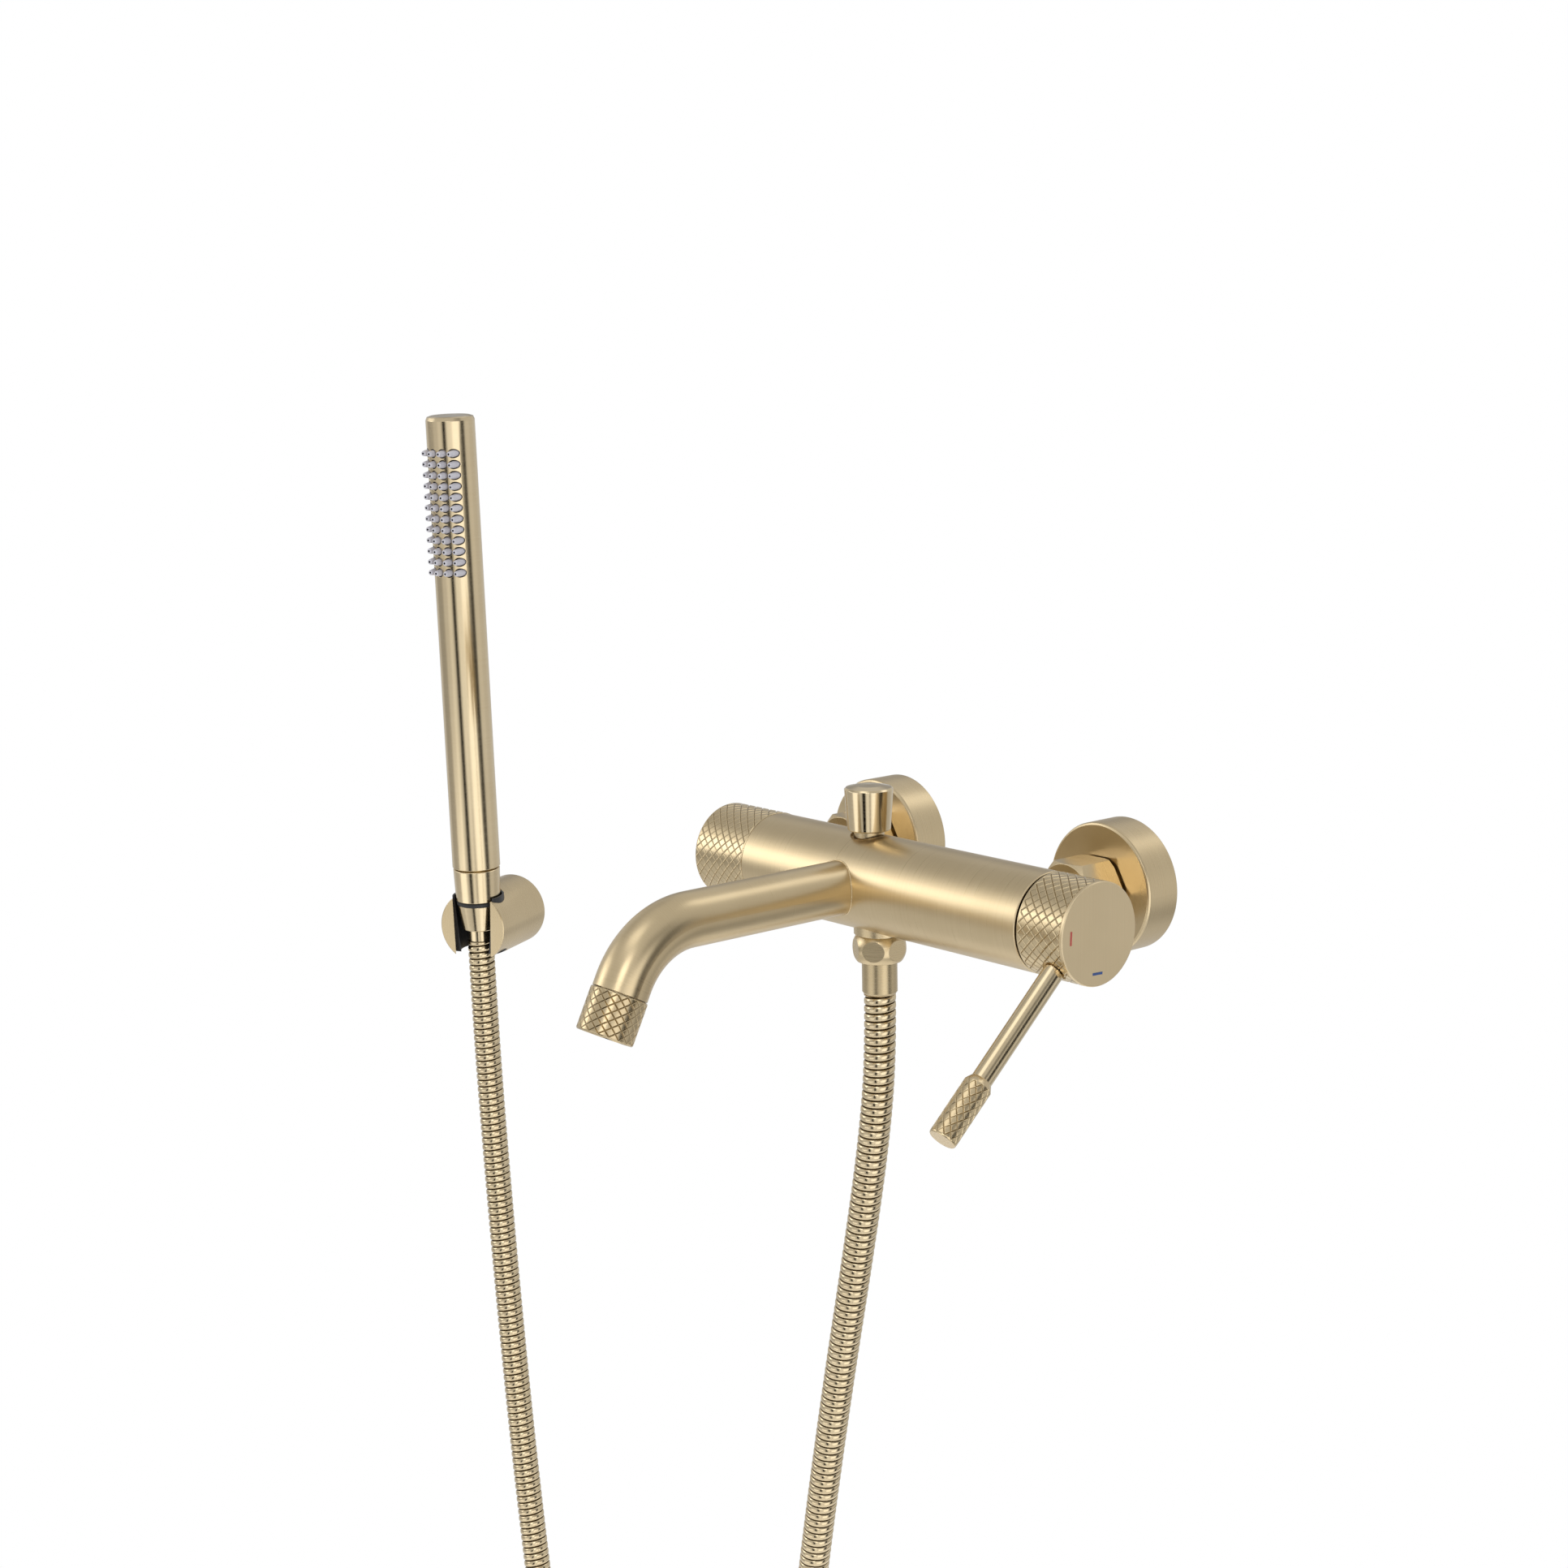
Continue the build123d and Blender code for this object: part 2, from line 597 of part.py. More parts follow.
# ================================================================ hose
def shower_hose():
    """Metal shower hose, hanging in a loop between the outlet and the hand shower."""
    start = (outlet_x, -wall_to_axis, hose_ferrule_end)
    end = holder_centre + handset_direction * neck_foot
    before_end = end - handset_direction * hose_lead
    points = [Vector(*start)] + [Vector(*p) for p in hose_free_points] + [before_end, end]
    radii = []
    for before, corner, after in zip(points, points[1:], points[2:]):
        incoming, outgoing = corner - before, after - corner
        half_turn = math.radians(incoming.get_angle(outgoing)) / 2
        radii.append(0.45 * min(incoming.length, outgoing.length) / math.tan(half_turn))
    print("hose runs", [round((b - a).length) for a, b in zip(points, points[1:])])
    print("hose radii", [round(r) for r in radii])
    with BuildPart() as hose:
        with BuildLine() as path:
            FilletPolyline(*[tuple(p) for p in points], radius=radii)
        with BuildSketch(Plane(origin=points[0], x_dir=(1, 0, 0), z_dir=(0, 0, -1))) as section:
            Circle(hose_diameter / 2)
            Circle(hose_bore / 2, mode=Mode.SUBTRACT)
        sweep(section.sketch, path=path.line)
    length = path.wire().length
    print("hose length", round(length, 1), "volume", round(hose.part.volume),
          "section times length", round(math.pi * (hose_diameter ** 2 - hose_bore ** 2) / 4 * length))
    keep(hose, "shower_hose")


# ================================================================ hand shower holder
def holder():
    """Forked holder, its plastic liner, the wall plate it is fixed to and a grub screw."""
    liner_low, liner_high = liner_span
    with BuildPart() as body:
        turn(holder_axis, [(0, -holder_front), (holder_radius - 0.5, -holder_front),
                           (holder_radius, -holder_front + 0.5), (holder_radius, holder_back - 0.8),
                           (holder_radius - 0.8, holder_back), (0, holder_back)])
        drill(handset_axis, holder_bore, -2 * holder_radius, 2 * holder_radius)
        drill(holder_axis, stub_radius + gap_thread, holder_back - stub_hole_depth, holder_back)
        grub_axis = Plane(origin=holder_centre - holder_forward * (holder_back - 6),
                          x_dir=holder_side, z_dir=(0, 0, -1))
        drill(grub_axis, 2.0, stub_radius - 1, holder_radius + 1)
    keep(body, "holder_body")
    with BuildPart() as grub:
        rod(grub_axis, 1.95, stub_radius + gap_seat, stub_radius + 8)
    keep(grub, "holder_grub_screw")
    with BuildPart() as liner:
        outer = holder_bore - gap_thread
        turn(handset_axis, [(liner_foot_radius, liner_low), (outer, liner_low),
                            (outer, liner_high), (holder_bore - liner_wall, liner_high)])
        front = Plane(origin=holder_centre + holder_forward * (holder_front - 2.2),
                      x_dir=holder_side, z_dir=holder_forward)
        with BuildSketch(front) as opening:
            Rectangle(4 * holder_radius, 6 * holder_radius)
        extrude(opening.sketch, amount=holder_radius, mode=Mode.SUBTRACT)
    keep(liner, "holder_liner")
    wall_point = holder_centre - holder_forward * (bore_to_wall / math.cos(yaw))
    stub_end = holder_centre - holder_forward * (holder_back - stub_hole_depth + gap_seat)
    stub = Plane(origin=stub_end, x_dir=holder_side, z_dir=-holder_forward)
    plate_axis = facing_room(wall_point.X, 0, holder_z)
    with BuildPart() as plate:
        rod(stub, stub_radius, 0, (wall_point - stub_end).length)
        with BuildSketch(facing_room(wall_point.X, 0, holder_z)) as behind:
            Rectangle(8 * stub_radius, 8 * stub_radius)
        extrude(behind.sketch, amount=-4 * stub_radius, mode=Mode.SUBTRACT)
        rod(plate_axis, plate_radius, 0, plate_thickness, chamfer_size=0.4)
        drill(plate_axis, fixing_radius, -0.1, fixing_depth)
    keep(plate, "holder_wall_plate")


# ================================================================ hand shower
def hose_swivel():
    """Lower half of the swivel cone: it stays with the hose while the handset turns."""
    with BuildPart() as cone:
        turn(handset_axis, [(swivel_bore, neck_foot), (neck_radius - 0.4, neck_foot),
                            (neck_radius, neck_foot + 0.4), (neck_radius, swivel_foot),
                            (swivel_foot_radius - 0.4, swivel_foot),
                            (swivel_foot_radius, swivel_foot + 0.4),
                            (swivel_top_radius, ring_foot), (swivel_stem, ring_foot),
                            (swivel_stem, cone_foot + 2.6), (swivel_flange, cone_foot + 2.6),
                            (swivel_flange, cone_foot + 4.0), (swivel_bore, cone_foot + 4.0)])
    keep(cone, "swivel_cone")
    with BuildPart() as ring:
        rod(handset_axis, cone_foot_radius - 0.35, ring_foot, cone_foot - gap_seat,
            bore=swivel_stem, chamfer_size=0.5)
    keep(ring, "swivel_o_ring")


def handset_fittings():
    """Cone nut, threaded bushing and washer at the foot of the hand shower."""
    flange_room = cone_foot + 2.5
    thread_foot = cone_foot + 6.0
    with BuildPart() as nut:
        turn(handset_axis, [(swivel_stem + gap_run, cone_foot), (cone_foot_radius - 0.4, cone_foot),
                            (cone_foot_radius, cone_foot + 0.4), (cone_top_radius, cone_top - 0.4),
                            (cone_top_radius - 0.4, cone_top), (thread_radius + gap_thread, cone_top),
                            (thread_radius + gap_thread, thread_foot - 1.5),
                            (swivel_flange + 0.4, thread_foot - 1.5),
                            (swivel_flange + 0.4, flange_room), (swivel_stem + gap_run, flange_room)])
    keep(nut, "cone_nut")
    with BuildPart() as bushing:
        turn(handset_axis, [(5, thread_foot), (thread_radius, thread_foot),
                            (thread_radius, handset_foot + 0.2),
                            (handset_radius - handset_wall - gap_thread, handset_foot + 0.2),
                            (handset_radius - handset_wall - gap_thread, handset_foot + 11),
                            (5, handset_foot + 11)])
    keep(bushing, "handset_bushing")
    with BuildPart() as washer:
        rod(handset_axis, thread_radius - 0.4, thread_foot - 1.4, thread_foot, bore=swivel_bore + 0.5)
    keep(washer, "handset_washer")


def nozzle_places():
    """For each spray nozzle, a plane beside the handset's axis that faces its way, and how far beside."""
    turned = math.radians(nozzle_turn)
    places = []
    for row in range(nozzle_rows):
        for angle in nozzle_angles:
            aside = handset_radius * math.sin(math.radians(angle))
            foot = Vector(aside * math.cos(turned), aside * math.sin(turned),
                          nozzle_first - row * nozzle_pitch)
            origin = handset_axis.from_local_coords(foot)
            ahead = handset_axis.from_local_coords(foot + Vector(math.sin(turned), -math.cos(turned), 0))
            places.append((Plane(origin=origin, x_dir=handset_axis.z_dir, z_dir=ahead - origin), aside))
    return places


def depth(radius, aside):
    """How far in front of the handset's axis a round of this radius is, so far aside."""
    return math.sqrt(radius ** 2 - aside ** 2)


def handset():
    """Drawn tube with its spray nozzles and the water channel behind them."""
    inner = handset_radius - handset_wall
    hole = nozzle_root_radius + nozzle_gap
    strip_top = nozzle_first + 6
    strip_foot = nozzle_first - (nozzle_rows - 1) * nozzle_pitch - 6
    with BuildPart() as tube:
        turn(handset_axis, [(inner, handset_foot), (handset_radius - 0.3, handset_foot),
                            (handset_radius, handset_foot + 0.3), (handset_radius, handset_top - 2.4),
                            (handset_radius - 0.75, handset_top - 0.7),
                            (handset_radius - 2.4, handset_top - 0.15), (0, handset_top),
                            (0, handset_top - 1.6), (inner, handset_top - 1.9)])
        for plane, aside in nozzle_places():
            drill(plane, hole, depth(inner, abs(aside) + hole) - 1, handset_radius + 1)
    keep(tube, "handset_tube")
    mat_outer = inner - 0.05
    mat_inner = mat_outer - mat_thickness
    with BuildPart() as strip:
        rod(handset_axis, mat_outer, strip_foot, strip_top, bore=mat_inner)
        reach = 2 * handset_radius
        edges = [math.radians(nozzle_turn + step * mat_angle) for step in (1, 0, -1)]
        with BuildSketch(handset_axis.offset(strip_foot)) as wedge:
            with BuildLine():
                Polyline((0, 0), *[(reach * math.sin(edge), -reach * math.cos(edge)) for edge in edges],
                         close=True)
            make_face()
        extrude(wedge.sketch, amount=strip_top - strip_foot, mode=Mode.INTERSECT)
        for plane, aside in nozzle_places():
            root = depth(mat_outer - mat_thickness / 2, aside)
            surface = depth(handset_radius, aside)
            tip = depth(nozzle_reach, aside)
            turn(plane, [(0, root), (nozzle_root_radius, root), (nozzle_root_radius, surface),
                         (nozzle_tip_radius, tip), (0, tip)])
        drill(handset_axis, mat_inner, strip_foot - 1, strip_top + 1)
        for plane, aside in nozzle_places():
            drill(plane, nozzle_bore, depth(mat_inner, aside) - 1, nozzle_reach + 1)
    keep(strip, "spray_nozzles")
    channel_outer = mat_inner - 0.1
    with BuildPart() as channel:
        rod(handset_axis, channel_outer, handset_foot + 11.2, strip_top + 3, bore=channel_outer - 1.2)
        window = Plane(origin=handset_axis.from_local_coords(Vector(0, 0, (strip_top + strip_foot) / 2)),
                       x_dir=handset_axis.x_dir, z_dir=-handset_axis.y_dir)
        with BuildSketch(window) as opening:
            Rectangle(13, strip_top - strip_foot - 4)
        extrude(opening.sketch, amount=handset_radius, mode=Mode.SUBTRACT)
    keep(channel, "water_channel")


os.makedirs("parts", exist_ok=True)
mixer_body()
left_sleeve()
body_end_plug()
inlet_set(-1, "left")
inlet_set(1, "right")
cartridge()
lever_handle()
spout()
diverter()
hose_outlet()
shower_hose()
holder()
hose_swivel()
handset_fittings()
handset()
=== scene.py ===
"""Looks of the wall mounted bath mixer: knurls, ribbed hose, spray nozzles and finishes.

Places and sizes are in mm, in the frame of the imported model.
"""
import math

import bpy
import numpy as np
from mathutils import Matrix, Vector


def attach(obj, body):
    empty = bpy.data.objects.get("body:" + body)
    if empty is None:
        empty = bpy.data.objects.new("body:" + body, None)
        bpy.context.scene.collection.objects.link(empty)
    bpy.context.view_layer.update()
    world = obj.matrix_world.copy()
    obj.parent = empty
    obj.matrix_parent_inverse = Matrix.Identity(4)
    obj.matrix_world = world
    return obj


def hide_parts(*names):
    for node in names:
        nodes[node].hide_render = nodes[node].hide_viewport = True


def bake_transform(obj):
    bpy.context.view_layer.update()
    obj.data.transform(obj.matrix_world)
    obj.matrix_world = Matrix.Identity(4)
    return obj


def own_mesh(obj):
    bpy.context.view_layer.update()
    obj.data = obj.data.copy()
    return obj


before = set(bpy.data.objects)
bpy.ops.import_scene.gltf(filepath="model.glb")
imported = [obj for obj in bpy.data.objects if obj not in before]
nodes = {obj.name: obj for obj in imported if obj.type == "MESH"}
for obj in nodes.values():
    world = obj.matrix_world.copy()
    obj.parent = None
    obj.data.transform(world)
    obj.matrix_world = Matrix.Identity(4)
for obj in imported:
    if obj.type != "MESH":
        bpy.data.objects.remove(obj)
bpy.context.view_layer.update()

MM = 0.001

# ---------------------------------------------------------------- places and sizes, in mm
axis_y = -81.0
body_radius = 22.5
lever_angle = math.radians(42)
lever_direction = Vector((0, -math.cos(lever_angle), -math.sin(lever_angle)))
lever_root = Vector((123.6, axis_y, 0))
spout_turn = math.radians(63)
spout_outward = Vector((0, -math.cos(spout_turn), -math.sin(spout_turn)))
spout_corner = Vector((-10, axis_y - 131.7, 0))
spout_tip = spout_corner + spout_outward * 29.4
spout_bend_start = -187.9      # the y where its straight part ends
spout_bend_radius = 40.5       # of its centre line
holder_yaw = math.radians(27)
holder_forward = Vector((math.sin(holder_yaw), -math.cos(holder_yaw), 0))
holder_side = Vector((math.cos(holder_yaw), math.sin(holder_yaw), 0))
holder_centre = Vector((-375, -52, -88))
handset_lean = math.radians(2.2)
handset_direction = (Vector((0, 0, 1)) + holder_forward * math.tan(handset_lean)).normalized()


# ================================================================ node helpers
class Nodes:
    """A node tree, emptied first, with a short way to add and join its nodes."""

    def __init__(self, tree):
        self.tree = tree
        self.tree.nodes.clear()

    def add(self, kind, **settings):
        node = self.tree.nodes.new(kind)
        for key, value in settings.items():
            setattr(node, key, value)
        return node

    def link(self, source, target):
        self.tree.links.new(source, target)

    def join(self, source, out, target, into):
        self.link(source.outputs[out], target.inputs[into])

    def math(self, operation, first, second):
        node = self.add("ShaderNodeMath", operation=operation)
        for index, value in enumerate((first, second)):
            if isinstance(value, (int, float)):
                node.inputs[index].default_value = value
            else:
                self.link(value, node.inputs[index])
        return node.outputs[0]

    def ramp(self, value, *stops):
        node = self.add("ShaderNodeValToRGB")
        line = node.color_ramp.elements
        while len(line) < len(stops):
            line.new(0.5)
        for element, (place, colour) in zip(line, stops):
            element.position = place
            element.color = (*colour, 1)
        self.link(value, node.inputs["Fac"])
        return node

    def spread(self, value, low, high, start=0.0, end=1.0, **settings):
        """The value's range from start to end, spread from low to high."""
        node = self.add("ShaderNodeMapRange", **settings)
        for name, number in (("From Min", start), ("From Max", end), ("To Min", low), ("To Max", high)):
            node.inputs[name].default_value = number
        self.link(value, node.inputs["Value"])
        return node.outputs["Result"]


class Shader(Nodes):
    """A new material with its principled skin joined to the output."""

    def __init__(self, name):
        self.material = bpy.data.materials.new(name)
        self.material.use_nodes = True
        super().__init__(self.material.node_tree)
        self.skin = self.add("ShaderNodeBsdfPrincipled")
        self.join(self.skin, "BSDF", self.add("ShaderNodeOutputMaterial"), "Surface")


def noise(shader, vector, scale, detail=3.0, rough=0.55):
    node = shader.add("ShaderNodeTexNoise")
    node.inputs["Scale"].default_value = scale
    node.inputs["Detail"].default_value = detail
    node.inputs["Roughness"].default_value = rough
    shader.link(vector, node.inputs["Vector"])
    return node.outputs["Fac"]


def mapped(shader, scale=(1, 1, 1), turn=(0, 0, 0)):
    """Object coordinates, turned and scaled."""
    place = shader.add("ShaderNodeTexCoord")
    step = shader.add("ShaderNodeMapping")
    step.inputs["Rotation"].default_value = turn
    step.inputs["Scale"].default_value = scale
    shader.join(place, "Object", step, "Vector")
    return step.outputs["Vector"]


FINE, LONG = 2600.0, 14.0             # noise across and along the brush strokes, per metre
GRAIN = {"x": (FINE, LONG, LONG), "y": (LONG, FINE, LONG), "z": (LONG, LONG, FINE)}
NOISE_LOW, NOISE_HIGH = 0.3, 0.7      # nearly all of a noise lies between these
FULL_WEAR_AND_HIGHLIGHT, NO_WEAR_OR_HIGHLIGHT = 0.86, 0.995      # cosine of how far a rounded edge turns the surface, from full painted highlight and smoothing to none
EDGE_HIGHLIGHT_TONE = (1.12, 1.12, 1.16)        # painted highlight on a rounded edge, as a share of the light colour
GROOVE_SHADE_TONE = (0.32, 0.30, 0.25)      # painted shade in a knurl's groove, as a share of the dark colour
# how strong the painted shade is at a groove's bottom
GROOVE_SHADE_AMOUNT = 0.62
STREAKS, CLOUDS = 0.62, 0.38          # their shares of the tone
BRUSHED_DEPTH, MOULDED_DEPTH = 0.00006, 0.00004


def bend_grain(shader):
    """Coordinates whose fine direction follows the spout's centre line round its bend."""
    place = shader.add("ShaderNodeTexCoord")
    split = shader.add("ShaderNodeSeparateXYZ")
    shader.join(place, "Object", split, "Vector")
    back = shader.math("ADD", split.outputs["Y"], -spout_bend_start * MM)
    above = shader.math("ADD", split.outputs["Z"], spout_bend_radius * MM)
    forward = shader.math("MULTIPLY", back, -1.0)
    angle = shader.math("ARCTAN2", forward, above)
    arc = shader.math("MULTIPLY", angle, spout_bend_radius * MM)
    bent = shader.math("GREATER_THAN", forward, 0.0)
    straight = shader.math("LESS_THAN", forward, 0.0)
    along = shader.math("ADD", shader.math("MULTIPLY", bent, arc),
                        shader.math("MULTIPLY", straight, forward))
    join = shader.add("ShaderNodeCombineXYZ")
    shader.link(shader.math("MULTIPLY", split.outputs["X"], LONG), join.inputs["X"])
    shader.link(shader.math("MULTIPLY", along, FINE), join.inputs["Y"])
    shader.link(shader.math("MULTIPLY", split.outputs["Z"], LONG), join.inputs["Z"])
    return join.outputs["Vector"]


def toned(colour, shares):
    return (*(min(1, part * share) for part, share in zip(colour, shares)), 1)


def add_bump(shader, height, strength, distance):
    bump = shader.add("ShaderNodeBump")
    bump.inputs["Strength"].default_value = strength
    bump.inputs["Distance"].default_value = distance
    shader.link(height, bump.inputs["Height"])
    shader.join(bump, "Normal", shader.skin, "Normal")
    return bump


def brushed(name, dark, light, roughness, grain, turn=(0, 0, 0), tangent="Z", stretch=0.55,
            relief=0.03, edge=0.0003, shaded_grooves=False):
    """Brushed metal: streaks in one direction, cloudy tone, and rounded edges, a little smoother and with a
    painted highlight.

    A knurled one can get painted shade where the mesh's groove attribute says that it is cut in.
    """
    s = Shader(name)
    streak_place = bend_grain(s) if grain == "spout" else mapped(s, GRAIN[grain], turn)
    streaks = noise(s, streak_place, 1.0, detail=4.0, rough=0.65)
    clouds = noise(s, mapped(s), 38.0, detail=2.0)
    tone = s.math("ADD", s.math("MULTIPLY", streaks, STREAKS), s.math("MULTIPLY", clouds, CLOUDS))
    colour = s.ramp(tone, (NOISE_LOW, dark), (NOISE_HIGH, light))
    rounded = s.add("ShaderNodeBevel", samples=4)
    rounded.inputs["Radius"].default_value = edge
    facing = s.add("ShaderNodeNewGeometry")
    bent = s.add("ShaderNodeVectorMath", operation="DOT_PRODUCT")
    s.join(rounded, "Normal", bent, 0)
    s.join(facing, "Normal", bent, 1)
    # rounded edges get a painted highlight in their colour and a little less roughness
    wear_and_highlight = s.spread(bent.outputs["Value"], 1.0, 0.0, FULL_WEAR_AND_HIGHLIGHT, NO_WEAR_OR_HIGHLIGHT)
    painted_light_colour = s.add("ShaderNodeMix", data_type="RGBA")
    s.link(wear_and_highlight, painted_light_colour.inputs["Factor"])
    s.link(colour.outputs["Color"], painted_light_colour.inputs["A"])
    painted_light_colour.inputs["B"].default_value = toned(light, EDGE_HIGHLIGHT_TONE)
    # painted shade in the knurl's grooves
    if shaded_grooves:
        cut = s.add("ShaderNodeAttribute", attribute_name="groove")
        shade = s.add("ShaderNodeMix", data_type="RGBA")
        s.link(s.spread(cut.outputs["Fac"], 0.0, GROOVE_SHADE_AMOUNT, 0.25, 0.95), shade.inputs["Factor"])
        s.link(painted_light_colour.outputs["Result"], shade.inputs["A"])
        shade.inputs["B"].default_value = toned(dark, GROOVE_SHADE_TONE)
        painted_light_colour = shade
    s.link(painted_light_colour.outputs["Result"], s.skin.inputs["Base Color"])
    rough = s.math("ADD", s.spread(streaks, roughness - 0.03, roughness + 0.03, NOISE_LOW, NOISE_HIGH),
                   s.math("MULTIPLY", wear_and_highlight, -0.05))
    s.link(rough, s.skin.inputs["Roughness"])
    bump = add_bump(s, streaks, relief, BRUSHED_DEPTH)
    s.join(rounded, "Normal", bump, "Normal")
    s.skin.inputs["Metallic"].default_value = 1.0
    s.skin.inputs["Anisotropic"].default_value = stretch
    ring = s.add("ShaderNodeTangent", direction_type="RADIAL", axis=tangent)
    s.join(ring, "Tangent", s.skin, "Tangent")
    return s.material


def moulded(name, dark, light, roughness, scale=900.0, relief=0.12, coat=0.0, glow=0.0):
    """Rubber, plastic or enamel with a fine grain and slight change of tone."""
    s = Shader(name)
    place = mapped(s)
    grain = noise(s, place, scale)
    clouds = noise(s, place, 120.0, detail=2.0)
    tone = s.math("ADD", s.math("MULTIPLY", grain, 0.5), s.math("MULTIPLY", clouds, 0.5))
    colour = s.ramp(tone, (NOISE_LOW, dark), (NOISE_HIGH, light))
    s.join(colour, "Color", s.skin, "Base Color")
    s.link(s.spread(tone, roughness + 0.08, roughness - 0.08, NOISE_LOW, NOISE_HIGH),
           s.skin.inputs["Roughness"])
    add_bump(s, grain, relief, MOULDED_DEPTH)
    s.skin.inputs["Coat Weight"].default_value = coat
    s.skin.inputs["Subsurface Weight"].default_value = glow
    s.skin.inputs["Subsurface Radius"].default_value = (0.002, 0.002, 0.002)
    return s.material


# ================================================================ finishes
GOLD_DARK, GOLD_LIGHT = (0.60, 0.475, 0.285), (0.67, 0.545, 0.345)
PALE_DARK, PALE_LIGHT = (0.65, 0.525, 0.33), (0.72, 0.60, 0.40)
gold_x = brushed("gold_turned_x", GOLD_DARK, GOLD_LIGHT, 0.30, "x", tangent="X")
gold_y = brushed("gold_turned_y", GOLD_DARK, GOLD_LIGHT, 0.29, "y", tangent="Y", stretch=0.7)
gold_z = brushed("gold_turned_z", GOLD_DARK, GOLD_LIGHT, 0.28, "z", relief=0.02)
gold_knob = brushed("gold_knob", PALE_DARK, PALE_LIGHT, 0.15, "z", relief=0.02)
gold_spout = brushed("gold_spout", GOLD_DARK, GOLD_LIGHT, 0.30, "spout", tangent="Y", stretch=0.4)
gold_disc = brushed("gold_disc", (0.69, 0.555, 0.345), (0.76, 0.62, 0.40), 0.36, "y",
                    turn=(math.radians(35), 0, 0), tangent="X", stretch=0.2, relief=0.08)
gold_lever = brushed("gold_lever", PALE_DARK, PALE_LIGHT, 0.17, "y", turn=(-lever_angle, 0, 0),
                     stretch=0.0, relief=0.004)
gold_knurl_x = brushed("gold_knurl_x", GOLD_DARK, GOLD_LIGHT, 0.24, "x", tangent="X", stretch=0.0,
                       relief=0.02, edge=0.00012, shaded_grooves=True)
# a darker copy of the gold for the knurled spout collar: painted shade
shaded_gold_knurl_tip = brushed("shaded_gold_knurl_tip", (0.52, 0.41, 0.245), (0.60, 0.485, 0.305), 0.24, "y",
                         turn=(-spout_turn, 0, 0), stretch=0.0, relief=0.02, edge=0.00012, shaded_grooves=True)
gold_knurl_grip = brushed("gold_knurl_grip", GOLD_DARK, GOLD_LIGHT, 0.24, "y",
                          turn=(-lever_angle, 0, 0), stretch=0.0, relief=0.02, edge=0.0001, shaded_grooves=True)
gold_holder = brushed("gold_holder", GOLD_DARK, GOLD_LIGHT, 0.28, "y", turn=(0, 0, -holder_yaw))
# a darker copy of the gold for the hose ferrule: painted shade
shaded_gold_ferrule = brushed("shaded_gold_ferrule", (0.50, 0.395, 0.235), (0.57, 0.46, 0.285), 0.28, "z", relief=0.03)
pale_z = brushed("pale_gold_z", PALE_DARK, PALE_LIGHT, 0.17, "z", relief=0.02, stretch=0.6)
pale_hose = brushed("pale_gold_hose", PALE_DARK, PALE_LIGHT, 0.20, "z", relief=0.03, stretch=0.0,
                    edge=0.0001)
# the hose's grooves get a very dark copy of the gold: painted shade
hose_groove_shade = brushed("hose_groove_shade", (0.10, 0.07, 0.035), (0.17, 0.12, 0.06), 0.45, "z", stretch=0.0,
                      relief=0.03, edge=0.0001)
brass_raw = brushed("raw_brass", (0.50, 0.36, 0.16), (0.62, 0.47, 0.23), 0.33, "z")
steel = brushed("plain_steel", (0.42, 0.42, 0.42), (0.58, 0.58, 0.58), 0.30, "x")
rubber = moulded("black_rubber", (0.012, 0.012, 0.012), (0.03, 0.03, 0.03), 0.55)
black_plastic = moulded("black_plastic", (0.012, 0.012, 0.014), (0.028, 0.028, 0.03), 0.42)
grey_plastic = moulded("grey_plastic", (0.55, 0.55, 0.53), (0.68, 0.68, 0.66), 0.45)
silicone = moulded("nozzle_silicone", (0.56, 0.55, 0.60), (0.68, 0.67, 0.73), 0.38, scale=1400.0,
                   coat=0.3, glow=0.1)
# painted shade for the nozzles' holes, their roots and the mat behind them
painted_nozzle_shade = moulded("nozzle_hole_shade", (0.012, 0.012, 0.016), (0.03, 0.03, 0.036), 0.6)
red = moulded("red_enamel", (0.42, 0.055, 0.04), (0.52, 0.085, 0.06), 0.30, coat=0.3)
blue = moulded("blue_enamel", (0.008, 0.045, 0.19), (0.015, 0.07, 0.27), 0.30, coat=0.3)

FINISH = {
    "mixer_body": gold_x, "body_end_plug": brass_raw,
    "wall_union_left": gold_y, "wall_union_right": gold_y,
    "union_nut_left": gold_y, "union_nut_right": gold_y,
    "wall_rosette_left": gold_y, "wall_rosette_right": gold_y,
    "filter_washer_left": rubber, "filter_washer_right": rubber,
    "cartridge_case": grey_plastic, "cartridge_nut": brass_raw, "cartridge_turntable": grey_plastic,
    "cartridge_spindle": grey_plastic, "pivot_pin": steel,
    "handle_disc": gold_disc, "handle_grub_screw": steel, "hot_mark": red, "cold_mark": blue,
    "lever_rod": gold_lever, "spout_tube": gold_spout, "aerator_insert": black_plastic,
    "aerator_washer": rubber, "diverter_knob": gold_knob, "diverter_stem": brass_raw,
    "diverter_bonnet": gold_z, "diverter_seal": rubber, "diverter_spring": steel,
    "outlet_nipple": gold_z, "hose_nut": gold_z, "hose_washer": rubber, "hose_ferrule": shaded_gold_ferrule,
    "holder_body": gold_holder, "holder_grub_screw": steel, "holder_liner": black_plastic,
    "holder_wall_plate": gold_holder, "swivel_cone": pale_z, "swivel_o_ring": rubber,
    "cone_nut": pale_z, "handset_bushing": brass_raw, "handset_washer": rubber,
    "handset_tube": pale_z, "water_channel": grey_plastic,
}
for node_name, finish in FINISH.items():
    materials = nodes[node_name].data.materials
    if not materials:
        materials.append(finish)
    for index in range(len(materials)):
        materials[index] = finish


# ================================================================ mesh helpers
KNURL_SHARP = 24.0      # the angle from which an edge of a knurled piece is sharp, in degrees


